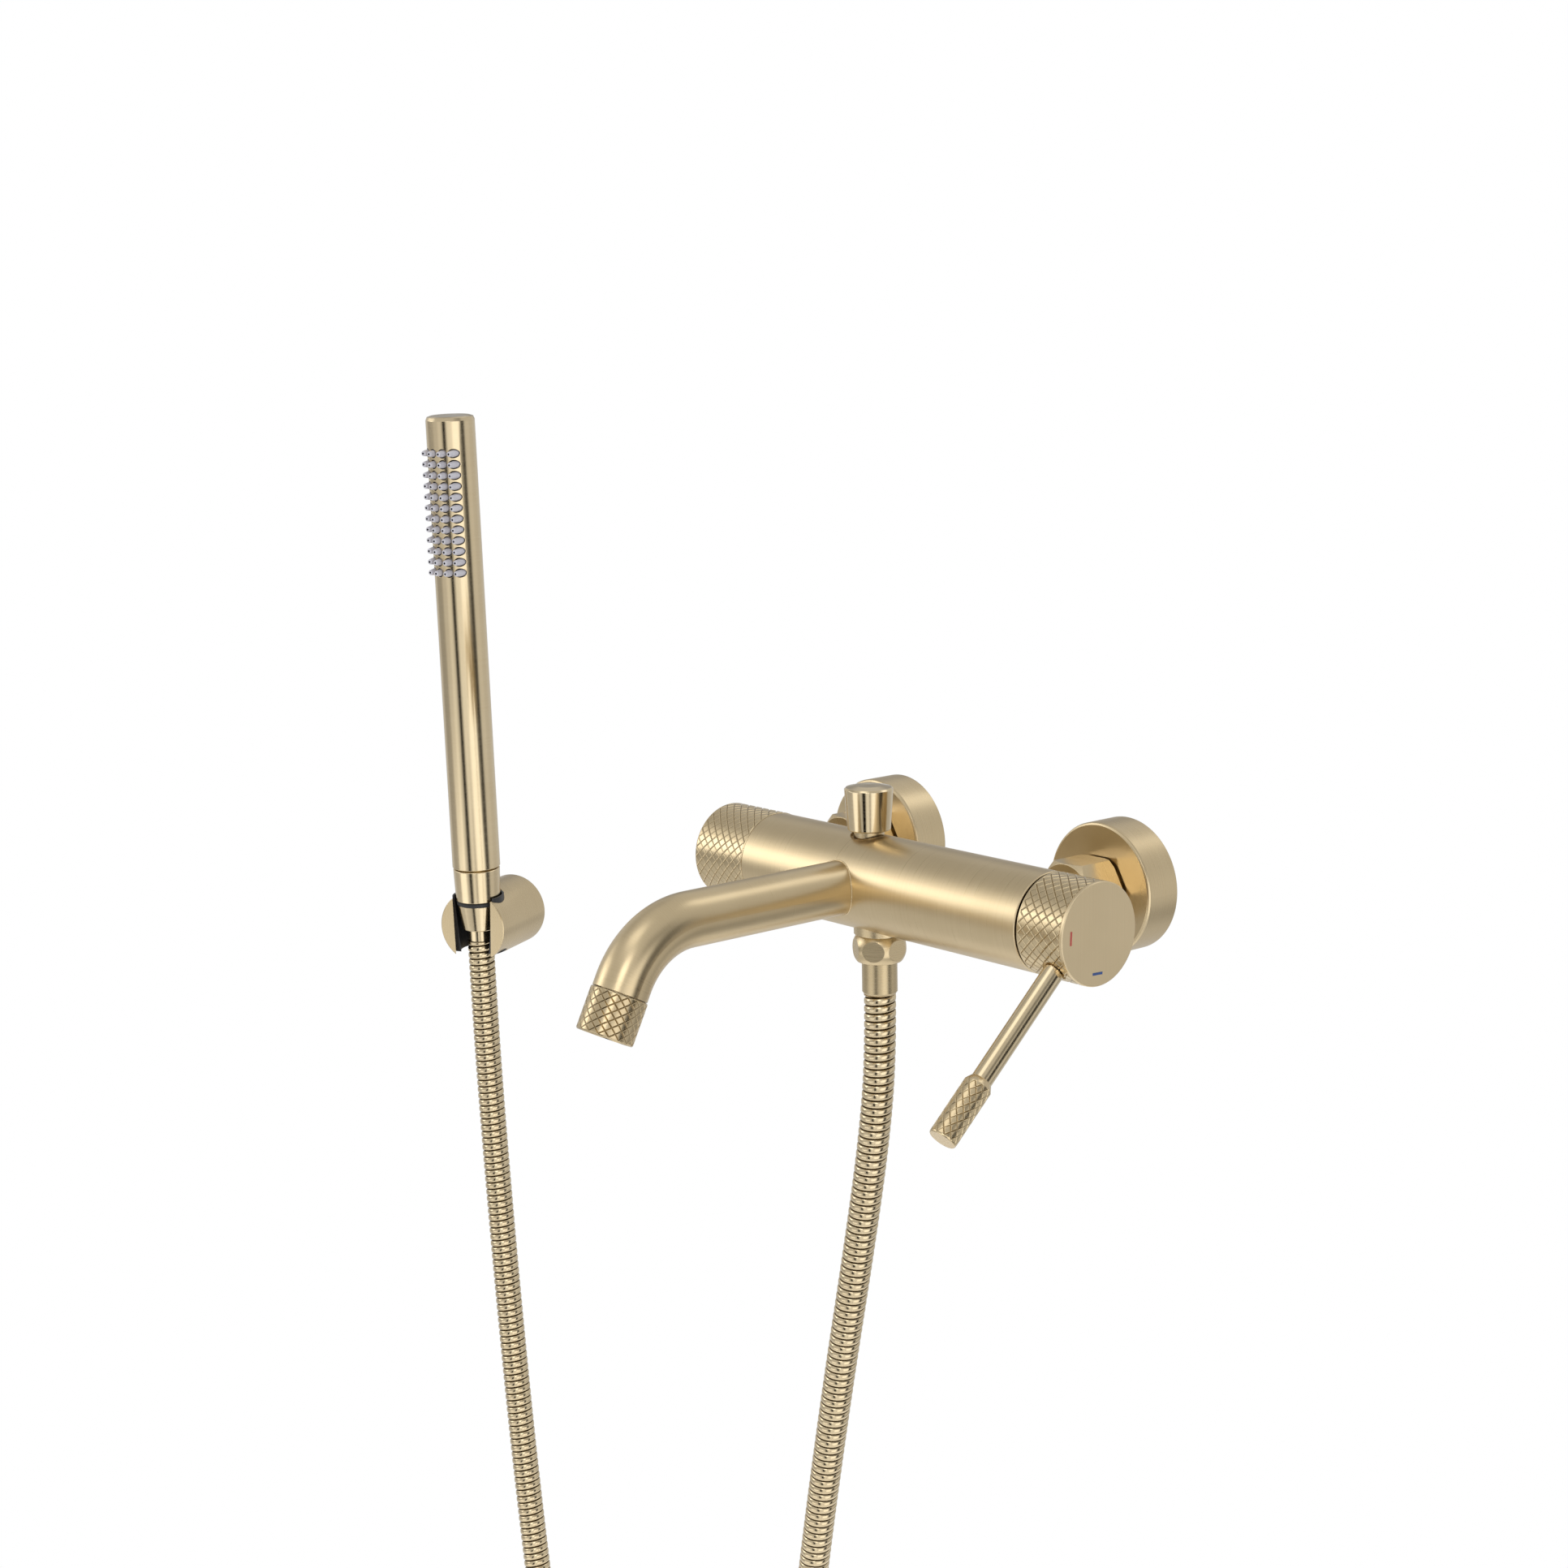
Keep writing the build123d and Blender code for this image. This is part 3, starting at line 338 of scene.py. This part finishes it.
def mesh_piece(name, points, faces, materials, sharp=32.0, which=None):
    """A linked mesh object from points in metres, smooth except at its sharp edges."""
    mesh = bpy.data.meshes.new(name)
    mesh.from_pydata([tuple(p) for p in points], [], faces)
    for material in materials:
        mesh.materials.append(material)
    if which is not None:
        mesh.polygons.foreach_set("material_index", which)
    mesh.update()
    mesh.shade_smooth()
    mesh.set_sharp_from_angle(angle=math.radians(sharp))
    piece = bpy.data.objects.new(name, mesh)
    bpy.context.scene.collection.objects.link(piece)
    return piece


def frame_at(origin, direction, start=None):
    """A matrix from local mm, with z along the direction, to metres in the model's frame."""
    z = Vector(direction).normalized()
    guess = Vector(start) if start else Vector((1, 0, 0))
    if abs(z.dot(guess)) > 0.95:
        guess = Vector((0, 1, 0))
    x = (guess - z * guess.dot(z)).normalized()
    y = z.cross(x)
    turn = Matrix((x, y, z)).transposed().to_4x4()
    return Matrix.Translation(Vector(origin) * MM) @ turn @ Matrix.Diagonal((MM, MM, MM, 1))


def lathe(profile, count):
    """Points of a shell turned about z, in mm, and the rings of their numbers.

    A radius is one number, or one for each point of its ring. A radius of 0 is one point.
    """
    points, rings = [], []
    for radius, height in profile:
        if np.ndim(radius) == 0 and radius == 0:
            rings.append([len(points)])
            points.append((0, 0, height))
            continue
        ring = []
        for i in range(count):
            r = radius if np.ndim(radius) == 0 else radius[i]
            angle = 2 * math.pi * i / count
            ring.append(len(points))
            points.append((r * math.cos(angle), r * math.sin(angle), height))
        rings.append(ring)
    return points, rings


def bridge(rings):
    """Faces from each ring to the next, in order."""
    faces = []
    for low, high in zip(rings, rings[1:]):
        count = max(len(low), len(high))
        for i in range(count):
            j = (i + 1) % count
            if len(low) == 1:
                faces.append((low[0], high[j], high[i]))
            elif len(high) == 1:
                faces.append((low[i], low[j], high[0]))
            else:
                faces.append((low[i], low[j], high[j], high[i]))
    return faces


def knurled(name, place, before, radius, start, end, after, around, rows, depth, material,
            closed=False, steps=8):
    """A turned shell whose stretch from start to end has a diamond knurl cut into it.

    before and after are the plain (radius, height) points on each side of the knurl, and a
    closed shell joins its last ring to its first. There are this many diamonds around it, rows
    of them along it, and steps in each. The mesh attribute "groove" says how far in a point is.
    """
    count = around * steps
    total = int(round(rows * steps))

    def cut(i, j):
        u, v = (i + j) / steps, (i - j) / steps
        nearest = min(abs(u - round(u)), abs(v - round(v)))
        return depth * max(0.0, 1 - nearest * steps)

    profile = list(before)
    for j in range(total + 1):
        height = start + (end - start) * j / total
        profile.append((np.array([radius - cut(i, j) for i in range(count)]), height))
    profile += list(after)
    points, rings = lathe(profile, count)
    first = len(before)
    faces = bridge(rings[:first + 1]) + bridge(rings[first + total:])
    if closed:
        faces += bridge([rings[-1], rings[0]])
    for j in range(total):
        low, high = rings[first + j], rings[first + j + 1]
        height = start + (end - start) * (j + 0.5) / total
        for i in range(count):
            k = (i + 1) % count
            r = radius - cut(i + 0.5, j + 0.5)
            angle = 2 * math.pi * (i + 0.5) / count
            middle = len(points)
            points.append((r * math.cos(angle), r * math.sin(angle), height))
            faces += [(low[i], low[k], middle), (low[k], high[k], middle),
                      (high[k], high[i], middle), (high[i], low[i], middle)]

    def groove_depth(point):
        """0 on the diamonds and off the knurl, and 1 at the bottom of a cut."""
        x, y, height = point
        share = (radius - math.hypot(x, y)) / depth
        on_knurl = start - 0.01 <= height <= end + 0.01 and share < 1.2
        return min(1.0, max(0.0, share)) if on_knurl else 0.0

    piece = mesh_piece(name, [place @ Vector(p) for p in points], faces, [material], KNURL_SHARP)
    groove = piece.data.attributes.new("groove", "FLOAT", "POINT")
    groove.data.foreach_set("value", [groove_depth(p) for p in points])
    return piece


def bored(piece, holes):
    """Cut round holes, each (origin, direction, radius, length) in mm, out of a piece."""
    sides = 48
    tools = []
    for index, (origin, direction, radius, length) in enumerate(holes):
        place = frame_at(origin, direction)
        points, rings = lathe([(0, 0), (radius, 0), (radius, length), (0, length)], sides)
        tool = mesh_piece(f"tool_{index}", [place @ Vector(p) for p in points], bridge(rings),
                          [piece.data.materials[0]])
        step = piece.modifiers.new(f"hole_{index}", "BOOLEAN")
        step.operation = "DIFFERENCE"
        step.solver = "EXACT"
        step.object = tool
        tools.append(tool)
    result = bpy.data.meshes.new_from_object(
        piece.evaluated_get(bpy.context.evaluated_depsgraph_get()))
    piece.modifiers.clear()
    piece.data = result
    result.shade_smooth()
    result.set_sharp_from_angle(angle=math.radians(KNURL_SHARP))
    for tool in tools:
        bpy.data.objects.remove(tool)


def kept(piece, body, slot, *replaced):
    """Put a piece on its body, in place of the CAD nodes that it replaces; its slot is not used."""
    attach(piece, body)
    if replaced:
        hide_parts(*replaced)


# ================================================================ knurled pieces
body_place = frame_at((0, axis_y, 0), (1, 0, 0), (0, 1, 0))
sleeve = knurled(
    "knurled_sleeve", body_place,
    before=[(0, -110.5), (22.1, -110.5), (22.55, -110.1), (22.7, -109.9)],
    radius=22.8, start=-109.6, end=-76.3,
    after=[(22.7, -76.1), (22.7, -75.75), (22.55, -75.6), (21.4, -75.6), (21.4, -108.0),
           (0, -108.0)],
    around=30, rows=6.5, depth=0.42, material=gold_knurl_x)
inlet_notch = ((-75, axis_y, 0), (0, 1, 0), 10.5, 30)
bored(sleeve, [inlet_notch])
kept(sleeve, "mixer", "satin_gold", "left_sleeve")

hub = knurled(
    "knurled_hub", body_place,
    before=[(0, 115.8), (19.5, 115.8), (21.5, 112.8), (21.5, 106.8), (22.2, 106.8),
            (22.6, 107.15), (22.6, 107.7)],
    radius=22.7, start=107.9, end=132.0,
    after=[(22.45, 132.1), (22.4, 132.2), (19.5, 132.2), (19.5, 129.6), (0, 129.6)],
    around=30, rows=4.75, depth=0.42, material=gold_knurl_x)
rod_recess = (lever_root + lever_direction * 21.3, lever_direction, 5.75, 3)
rod_bore = (lever_root + lever_direction * 6, lever_direction, 4.72, 18)
grub_screw_bore = (lever_root - lever_direction * 23.5, lever_direction, 2.0, 14)
bored(hub, [rod_recess, rod_bore, grub_screw_bore])
kept(hub, "handle", "satin_gold", "handle_hub")

tip_place = frame_at(spout_tip, spout_outward)
collar = knurled(
    "knurled_collar", tip_place,
    before=[(12.35, 0.3), (12.75, 0.55), (12.8, 0.8)],
    radius=12.9, start=1.0, end=19.3,
    after=[(12.8, 19.45), (12.75, 19.65), (12.4, 20.0), (11.3, 20.0), (10.2, 17.8), (10.2, 6.0),
           (7.8, 6.0), (7.8, -5.0), (9.95, -5.0), (9.95, 0.3)],
    around=17, rows=4.5, depth=0.40, material=shaded_gold_knurl_tip, closed=True)
kept(collar, "mixer", "satin_gold", "aerator_collar")

lever_place = frame_at(lever_root, lever_direction)
grip = knurled(
    "knurled_grip", lever_place,
    before=[(0, 80.5), (4.75, 80.5), (4.9, 80.65), (6.1, 82.9), (6.2, 83.1)],
    radius=6.3, start=83.3, end=110.2,
    after=[(6.2, 110.4), (6.15, 110.7), (5.85, 111.0), (0, 111.0)],
    around=11, rows=5.5, depth=0.34, material=gold_knurl_grip)
kept(grip, "handle", "satin_gold", "lever_grip")


# ================================================================ spray nozzles
tube_radius, tube_bore, nozzle_reach = 13.5, 11.4, 17.1
nozzle_rows, nozzle_pitch, nozzle_first = 12, 5.97, 269.6      # heights above the holder's centre
nozzle_angles = (-40.0, -13.4, 13.4, 40.0)                     # of the columns round the tube
nozzle_turn = math.radians(-8)
nozzle_sides = 24
mat_angle, mat_steps = 60, 32
mat_inner, mat_outer, mat_margin = 10.75, 12.1, 6
handset_back = handset_direction.cross(holder_side)
spray = holder_side * math.sin(nozzle_turn) - handset_back * math.cos(nozzle_turn)
beside = holder_side * math.cos(nozzle_turn) + handset_back * math.sin(nozzle_turn)


def nozzle_profile(aside):
    """A tapered nozzle with a hole in its round tip, as (radius, distance in front of the axis).

    aside is the nozzle's distance from the plane through the axis of the tube.
    """
    root = math.sqrt(tube_bore ** 2 - aside ** 2)
    surface = math.sqrt(tube_radius ** 2 - aside ** 2)
    tip = math.sqrt(nozzle_reach ** 2 - aside ** 2)
    return [(0, root), (1.9, root), (1.9, surface), (1.88, surface + 0.6), (1.52, tip - 1.0),
            (1.38, tip - 0.4), (1.10, tip - 0.1), (0.80, tip), (0.60, tip - 0.05), (0.52, tip - 0.25),
            (0.52, tip - 1.4), (0, tip - 1.5)]


def spray_nozzles():
    """The rows of pale nozzles and the strip of mat that joins them inside, as one mesh, with painted shade
    on the mat, the nozzles' roots and their holes.
    """
    points, faces, dark = [], [], []
    first_band_of_hole = 8
    for row in range(nozzle_rows):
        for angle in nozzle_angles:
            aside = tube_radius * math.sin(math.radians(angle))
            height = nozzle_first - row * nozzle_pitch
            place = frame_at(holder_centre + handset_direction * height + beside * aside, spray)
            own_points, rings = lathe(nozzle_profile(aside), nozzle_sides)
            base = len(points)
            points += [place @ Vector(p) for p in own_points]
            for number, face in enumerate(bridge(rings)):
                band = number // nozzle_sides
                faces.append(tuple(base + corner for corner in face))
                # the root inside the tube and the inside of the hole are painted shade
                dark.append(int(band == 0 or band >= first_band_of_hole))
    top = nozzle_first + mat_margin
    bottom = nozzle_first - (nozzle_rows - 1) * nozzle_pitch - mat_margin
    base = len(points)
    for i in range(mat_steps + 1):
        angle = math.radians(mat_angle * (2 * i / mat_steps - 1))
        outward = spray * math.cos(angle) + beside * math.sin(angle)
        for radius, height in ((mat_inner, bottom), (mat_outer, bottom),
                               (mat_outer, top), (mat_inner, top)):
            points.append((holder_centre + outward * radius + handset_direction * height) * MM)
    for i in range(mat_steps):
        low, high = base + 4 * i, base + 4 * (i + 1)
        faces += [(low + k, low + (k + 1) % 4, high + (k + 1) % 4, high + k) for k in range(4)]
    last = base + 4 * mat_steps
    faces += [(base + 3, base + 2, base + 1, base), (last, last + 1, last + 2, last + 3)]
    # the whole mat is painted shade
    dark += [1] * (4 * mat_steps + 2)
    return mesh_piece("spray_nozzle_tips", points, faces, [silicone, painted_nozzle_shade], 40.0, dark)


kept(spray_nozzles(), "handset", "nozzle_silicone", "spray_nozzles")


# ================================================================ shower hose
hose_points = [
    (-4.0, -81.0, -52.2), (-4.0, -81.0, -82.0), (-9.0, -81.3, -124.0), (-20.0, -81.8, -180.0),
    (-38.0, -82.0, -260.0), (-59.0, -81.5, -362.0), (-77.0, -80.0, -465.0), (-92.0, -78.5, -565.0),
    (-108.0, -76.0, -655.0), (-143.0, -73.0, -702.0), (-192.0, -70.0, -719.0),
    (-245.0, -66.0, -706.0), (-287.0, -62.0, -668.0), (-307.0, -59.0, -606.0),
    (-328.0, -56.0, -515.0), (-348.0, -53.0, -412.0), (-362.0, -51.0, -310.0),
    (-372.0, -49.5, -220.0), (-376.082, -49.876, -150.054), (-375.159, -51.689, -97.093),
]


def route(points):
    """Points in metres read from a NURBS spline through the route's control points."""
    curve = bpy.data.curves.new("hose_route", "CURVE")
    curve.dimensions = "3D"
    spline = curve.splines.new("NURBS")
    spline.points.add(len(points) - 1)
    for knot, point in zip(spline.points, points):
        knot.co = (*(Vector(point) * MM), 1)
    spline.order_u = 3
    spline.use_endpoint_u = True
    spline.resolution_u = 48
    holder = bpy.data.objects.new("hose_route", curve)
    bpy.context.scene.collection.objects.link(holder)
    mesh = bpy.data.meshes.new_from_object(holder)
    line = [v.co.copy() for v in mesh.vertices]
    bpy.data.objects.remove(holder)
    bpy.data.meshes.remove(mesh)
    return line


# one turn of the strip, as (share of the pitch, drop below the bands' tops in metres)
hose_band = [(0.0, -0.00110), (0.10, -0.00050), (0.22, -0.00010), (0.50, 0.0), (0.80, -0.00010),
             (0.90, -0.00050)]


def ribbed_hose(name, line, radius, pitch, around, materials):
    """A tube of wound metal strip: rounded bands with a helical groove between them.

    The line, radius and pitch are in metres. Gives the mesh object and the hose's length.
    """
    line = np.array([tuple(p) for p in line])
    apart = np.r_[True, np.linalg.norm(np.diff(line, axis=0), axis=1) > 1e-7]
    line = line[apart]
    run = np.r_[0, np.cumsum(np.linalg.norm(np.diff(line, axis=0), axis=1))]
    length = run[-1]
    tangents = np.gradient(line, run, axis=0)
    tangents /= np.linalg.norm(tangents, axis=1)[:, None]
    side = np.array([1.0, 0.0, 0.0])
    sides = []
    for t in tangents:
        side = side - t * side.dot(t)
        side /= np.linalg.norm(side)
        sides.append(side)
    sides = np.array(sides)

    def read(values, s):
        return np.array([np.interp(s, run, values[:, axis]) for axis in range(3)])

    turns = int(round(length / pitch))
    pitch = length / turns
    count = len(hose_band)
    total = (turns + 1) * count
    points = np.zeros((total * around, 3))
    for k in range(total):
        share, drop = hose_band[k % count]
        for m in range(around):
            s = min(max((k // count - 1 + share + m / around) * pitch, 0.0), length)
            t = read(tangents, s)
            t /= np.linalg.norm(t)
            x = read(sides, s)
            x -= t * x.dot(t)
            x /= np.linalg.norm(x)
            y = np.cross(t, x)
            angle = 2 * math.pi * m / around
            outward = x * math.cos(angle) + y * math.sin(angle)
            points[k * around + m] = read(line, s) + (radius + drop) * outward
    faces, which = [], []
    for k in range(total - 1):
        for m in range(around):
            # past its last side the strip goes on one turn further along
            low = k + (0 if m + 1 < around else count)
            high = low + 1
            if high >= total:
                continue
            n = (m + 1) % around
            faces.append((k * around + m, low * around + n, high * around + n, (k + 1) * around + m))
            # faces in the groove between the bands take the painted shade material
            which.append(1 if k % count in (0, count - 1) else 0)
    return mesh_piece(name, points, faces, materials, 75.0, which), length


hose_line = route(hose_points)
hose, hose_length = ribbed_hose("ribbed_hose", hose_line, radius=0.0075, pitch=0.0038, around=26,
                                materials=[pale_hose, hose_groove_shade])
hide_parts("shower_hose")
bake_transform(hose)
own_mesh(nodes["diverter_spring"])


# ================================================================ seam where the spout leaves the body
seam_radius, seam_thickness, seam_points, seam_sides = 12.62, 0.32, 128, 10


def ring_along(name, line, thickness, sides, material):
    """A round ring of this thickness along a closed line in mm."""
    line = np.array(line)
    ahead = np.roll(line, -1, axis=0) - np.roll(line, 1, axis=0)
    ahead /= np.linalg.norm(ahead, axis=1)[:, None]
    points, faces = [], []
    for p, t in zip(line, ahead):
        x = np.array([0.0, 1.0, 0.0])
        x -= t * x.dot(t)
        x /= np.linalg.norm(x)
        y = np.cross(t, x)
        for k in range(sides):
            angle = 2 * math.pi * k / sides
            points.append((p + thickness * (x * math.cos(angle) + y * math.sin(angle))) * MM)
    for i in range(len(line)):
        j = (i + 1) % len(line)
        for k in range(sides):
            n = (k + 1) % sides
            faces.append((i * sides + k, i * sides + n, j * sides + n, j * sides + k))
    return mesh_piece(name, points, faces, [material])


seam = []
for i in range(seam_points):
    angle = 2 * math.pi * i / seam_points
    x = spout_corner.x + seam_radius * math.cos(angle)
    z = seam_radius * math.sin(angle)
    seam.append((x, axis_y - math.sqrt(body_radius ** 2 - z ** 2), z))
kept(ring_along("spout_seam", seam, seam_thickness, seam_sides, gold_z), "mixer", "satin_gold")


# ================================================================ studio
def softbox(name, place, aim, width, height, power):
    light = bpy.data.lights.new(name, "AREA")
    light.shape = "RECTANGLE"
    light.size = width
    light.size_y = height
    light.energy = power
    lamp = bpy.data.objects.new(name, light)
    bpy.context.scene.collection.objects.link(lamp)
    lamp.location = place
    lamp.rotation_euler = (Vector(aim) - Vector(place)).to_track_quat("-Z", "Y").to_euler()


world = bpy.data.worlds.new("studio")
bpy.context.scene.world = world
world.use_nodes = True
sky = Nodes(world.node_tree)


def sine(degrees):
    return math.sin(math.radians(degrees))


def within(value, scale, low, high, soft):
    """1 between two angles and 0 outside them, smooth over soft degrees on each side of an edge.

    scale turns degrees into what the value is measured in.
    """
    past_low, past_high = (
        sky.spread(value, 0.0, 1.0, scale(edge - soft), scale(edge + soft), interpolation_type="SMOOTHSTEP")
        for edge in (low, high))
    return sky.math("SUBTRACT", past_low, past_high)


def panel(left, right, low, high, amount, soft):
    """Light of this amount from a panel, given by its bearing and height in degrees."""
    window = within(bearing, math.radians, left, right, soft)
    band = within(height, sine, low, high, soft)
    return sky.math("MULTIPLY", sky.math("MULTIPLY", window, band), amount)


direction = sky.add("ShaderNodeSeparateXYZ")
sky.join(sky.add("ShaderNodeTexCoord"), "Generated", direction, "Vector")
bearing = sky.math("ARCTAN2", direction.outputs["X"], sky.math("MULTIPLY", direction.outputs["Y"], -1.0))
height = direction.outputs["Z"]
total = 0.68      # what the room gives between the panels
for edges, amount, soft in (
        ((35, 62, -40, 14), 0.42, 4.0),        # left half of the bright stripe on upright tubes
        ((62, 99, -40, 14), 0.90, 4.0),        # its brighter right half
        ((17, 32, -40, 20), -0.76, 2.5),       # dark edges of that stripe
        ((103, 122, -40, 20), -0.66, 3.0),
        ((-8, 12, -18, -4), 0.22, 4.0),        # front of the holder's fork
        ((124, 150, -18, 10), 0.10, 6.0),      # face of the lever hub
        ((-76, -34, 12, 33), 0.62, 5.0),       # highlight along the body
        ((-76, -34, -16, 6), -0.26, 5.0),      # darker stretch below it
        ((-125, -62, 34, 56), -0.18, 5.0),     # darker top of the body
        ((-150, -116, 4, 26), -0.30, 6.0),     # its far edge
        ((152, 188, 41, 62), 0.95, 5.0),       # highlight along the spout
        ((112, 156, -46, -25), -0.30, 5.0),    # darker underside of the spout
        ((-34, 2, -28, -15), 0.95, 3.0),       # stripes of the diverter knob
        ((50, 58, -28, -15), -0.65, 2.0),
        ((150, 210, -28, -16), -0.25, 4.0),
        ((-34, 40, 58, 80), 0.95, 6.0),        # highlight along the lever
        ((78, 112, 22, 40), -0.42, 5.0)):      # darker stretch beside it
    total = sky.math("ADD", total, panel(*edges, amount, soft))
room, backdrop = (sky.add("ShaderNodeBackground") for _ in range(2))
for background in (room, backdrop):
    background.inputs["Color"].default_value = (1, 1, 1, 1)
sky.link(total, room.inputs["Strength"])
backdrop.inputs["Strength"].default_value = 1.0
either = sky.add("ShaderNodeMixShader")
sky.join(sky.add("ShaderNodeLightPath"), "Is Camera Ray", either, "Fac")
sky.join(room, "Background", either, 1)
sky.join(backdrop, "Background", either, 2)
sky.join(either, "Shader", sky.add("ShaderNodeOutputWorld"), "Surface")

lamp_aim = (-0.1, -0.1, -0.1)
softbox("key_light", (1.2, -1.7, 1.1), lamp_aim, width=0.8, height=0.8, power=5)
softbox("fill_light", (-1.7, -1.5, 0.5), lamp_aim, width=0.6, height=0.9, power=3)

floor_centre = Vector((-0.12, -0.08, -0.75))
floor_radius, floor_fade, floor_sides = 0.72, 0.45, 96      # it fades out from floor_fade to its rim
rim = []
for i in range(floor_sides):
    angle = 2 * math.pi * i / floor_sides
    rim.append(tuple(floor_centre + Vector((math.cos(angle), math.sin(angle), 0)) * floor_radius))
floor_mesh = bpy.data.meshes.new("floor")
floor_mesh.from_pydata(rim, [], [tuple(range(floor_sides))])
floor = bpy.data.objects.new("floor", floor_mesh)
bpy.context.scene.collection.objects.link(floor)
pale = Shader("pale_floor")
tint = pale.ramp(noise(pale, mapped(pale), 3.0), (NOISE_LOW, (0.93,) * 3), (NOISE_HIGH, (0.96,) * 3))
pale.join(tint, "Color", pale.skin, "Base Color")
pale.skin.inputs["Roughness"].default_value = 0.9
pale.skin.inputs["Specular IOR Level"].default_value = 0.0
pale.skin.inputs["Emission Color"].default_value = (1, 1, 1, 1)
pale.skin.inputs["Emission Strength"].default_value = 0.30
from_centre = pale.add("ShaderNodeVectorMath", operation="DISTANCE")
pale.join(pale.add("ShaderNodeTexCoord"), "Object", from_centre, 0)
from_centre.inputs[1].default_value = floor_centre
pale.link(pale.spread(from_centre.outputs["Value"], 1.0, 0.0, floor_fade, floor_radius),
          pale.skin.inputs["Alpha"])
floor_mesh.materials.append(pale.material)

camera_place = Vector((0.91835, -0.91791, 0.28225))
camera_back = Vector((0.74985, -0.63507, 0.18567)).normalized()
level_right = Vector((0.6463, 0.7631, 0)).normalized()
level_up = level_right.cross(-camera_back)
roll = math.radians(-1.06)
camera_right = level_right * math.cos(roll) + level_up * math.sin(roll)
camera_up = level_up * math.cos(roll) - level_right * math.sin(roll)
camera_data = bpy.data.cameras.new("camera")
camera_data.sensor_width = 36
camera_data.lens = 63.87
camera = bpy.data.objects.new("camera", camera_data)
bpy.context.scene.collection.objects.link(camera)
camera.matrix_world = (Matrix.Translation(camera_place)
                       @ Matrix((camera_right, camera_up, camera_back)).transposed().to_4x4())
bpy.context.scene.camera = camera
bpy.context.scene.view_settings.view_transform = "Standard"
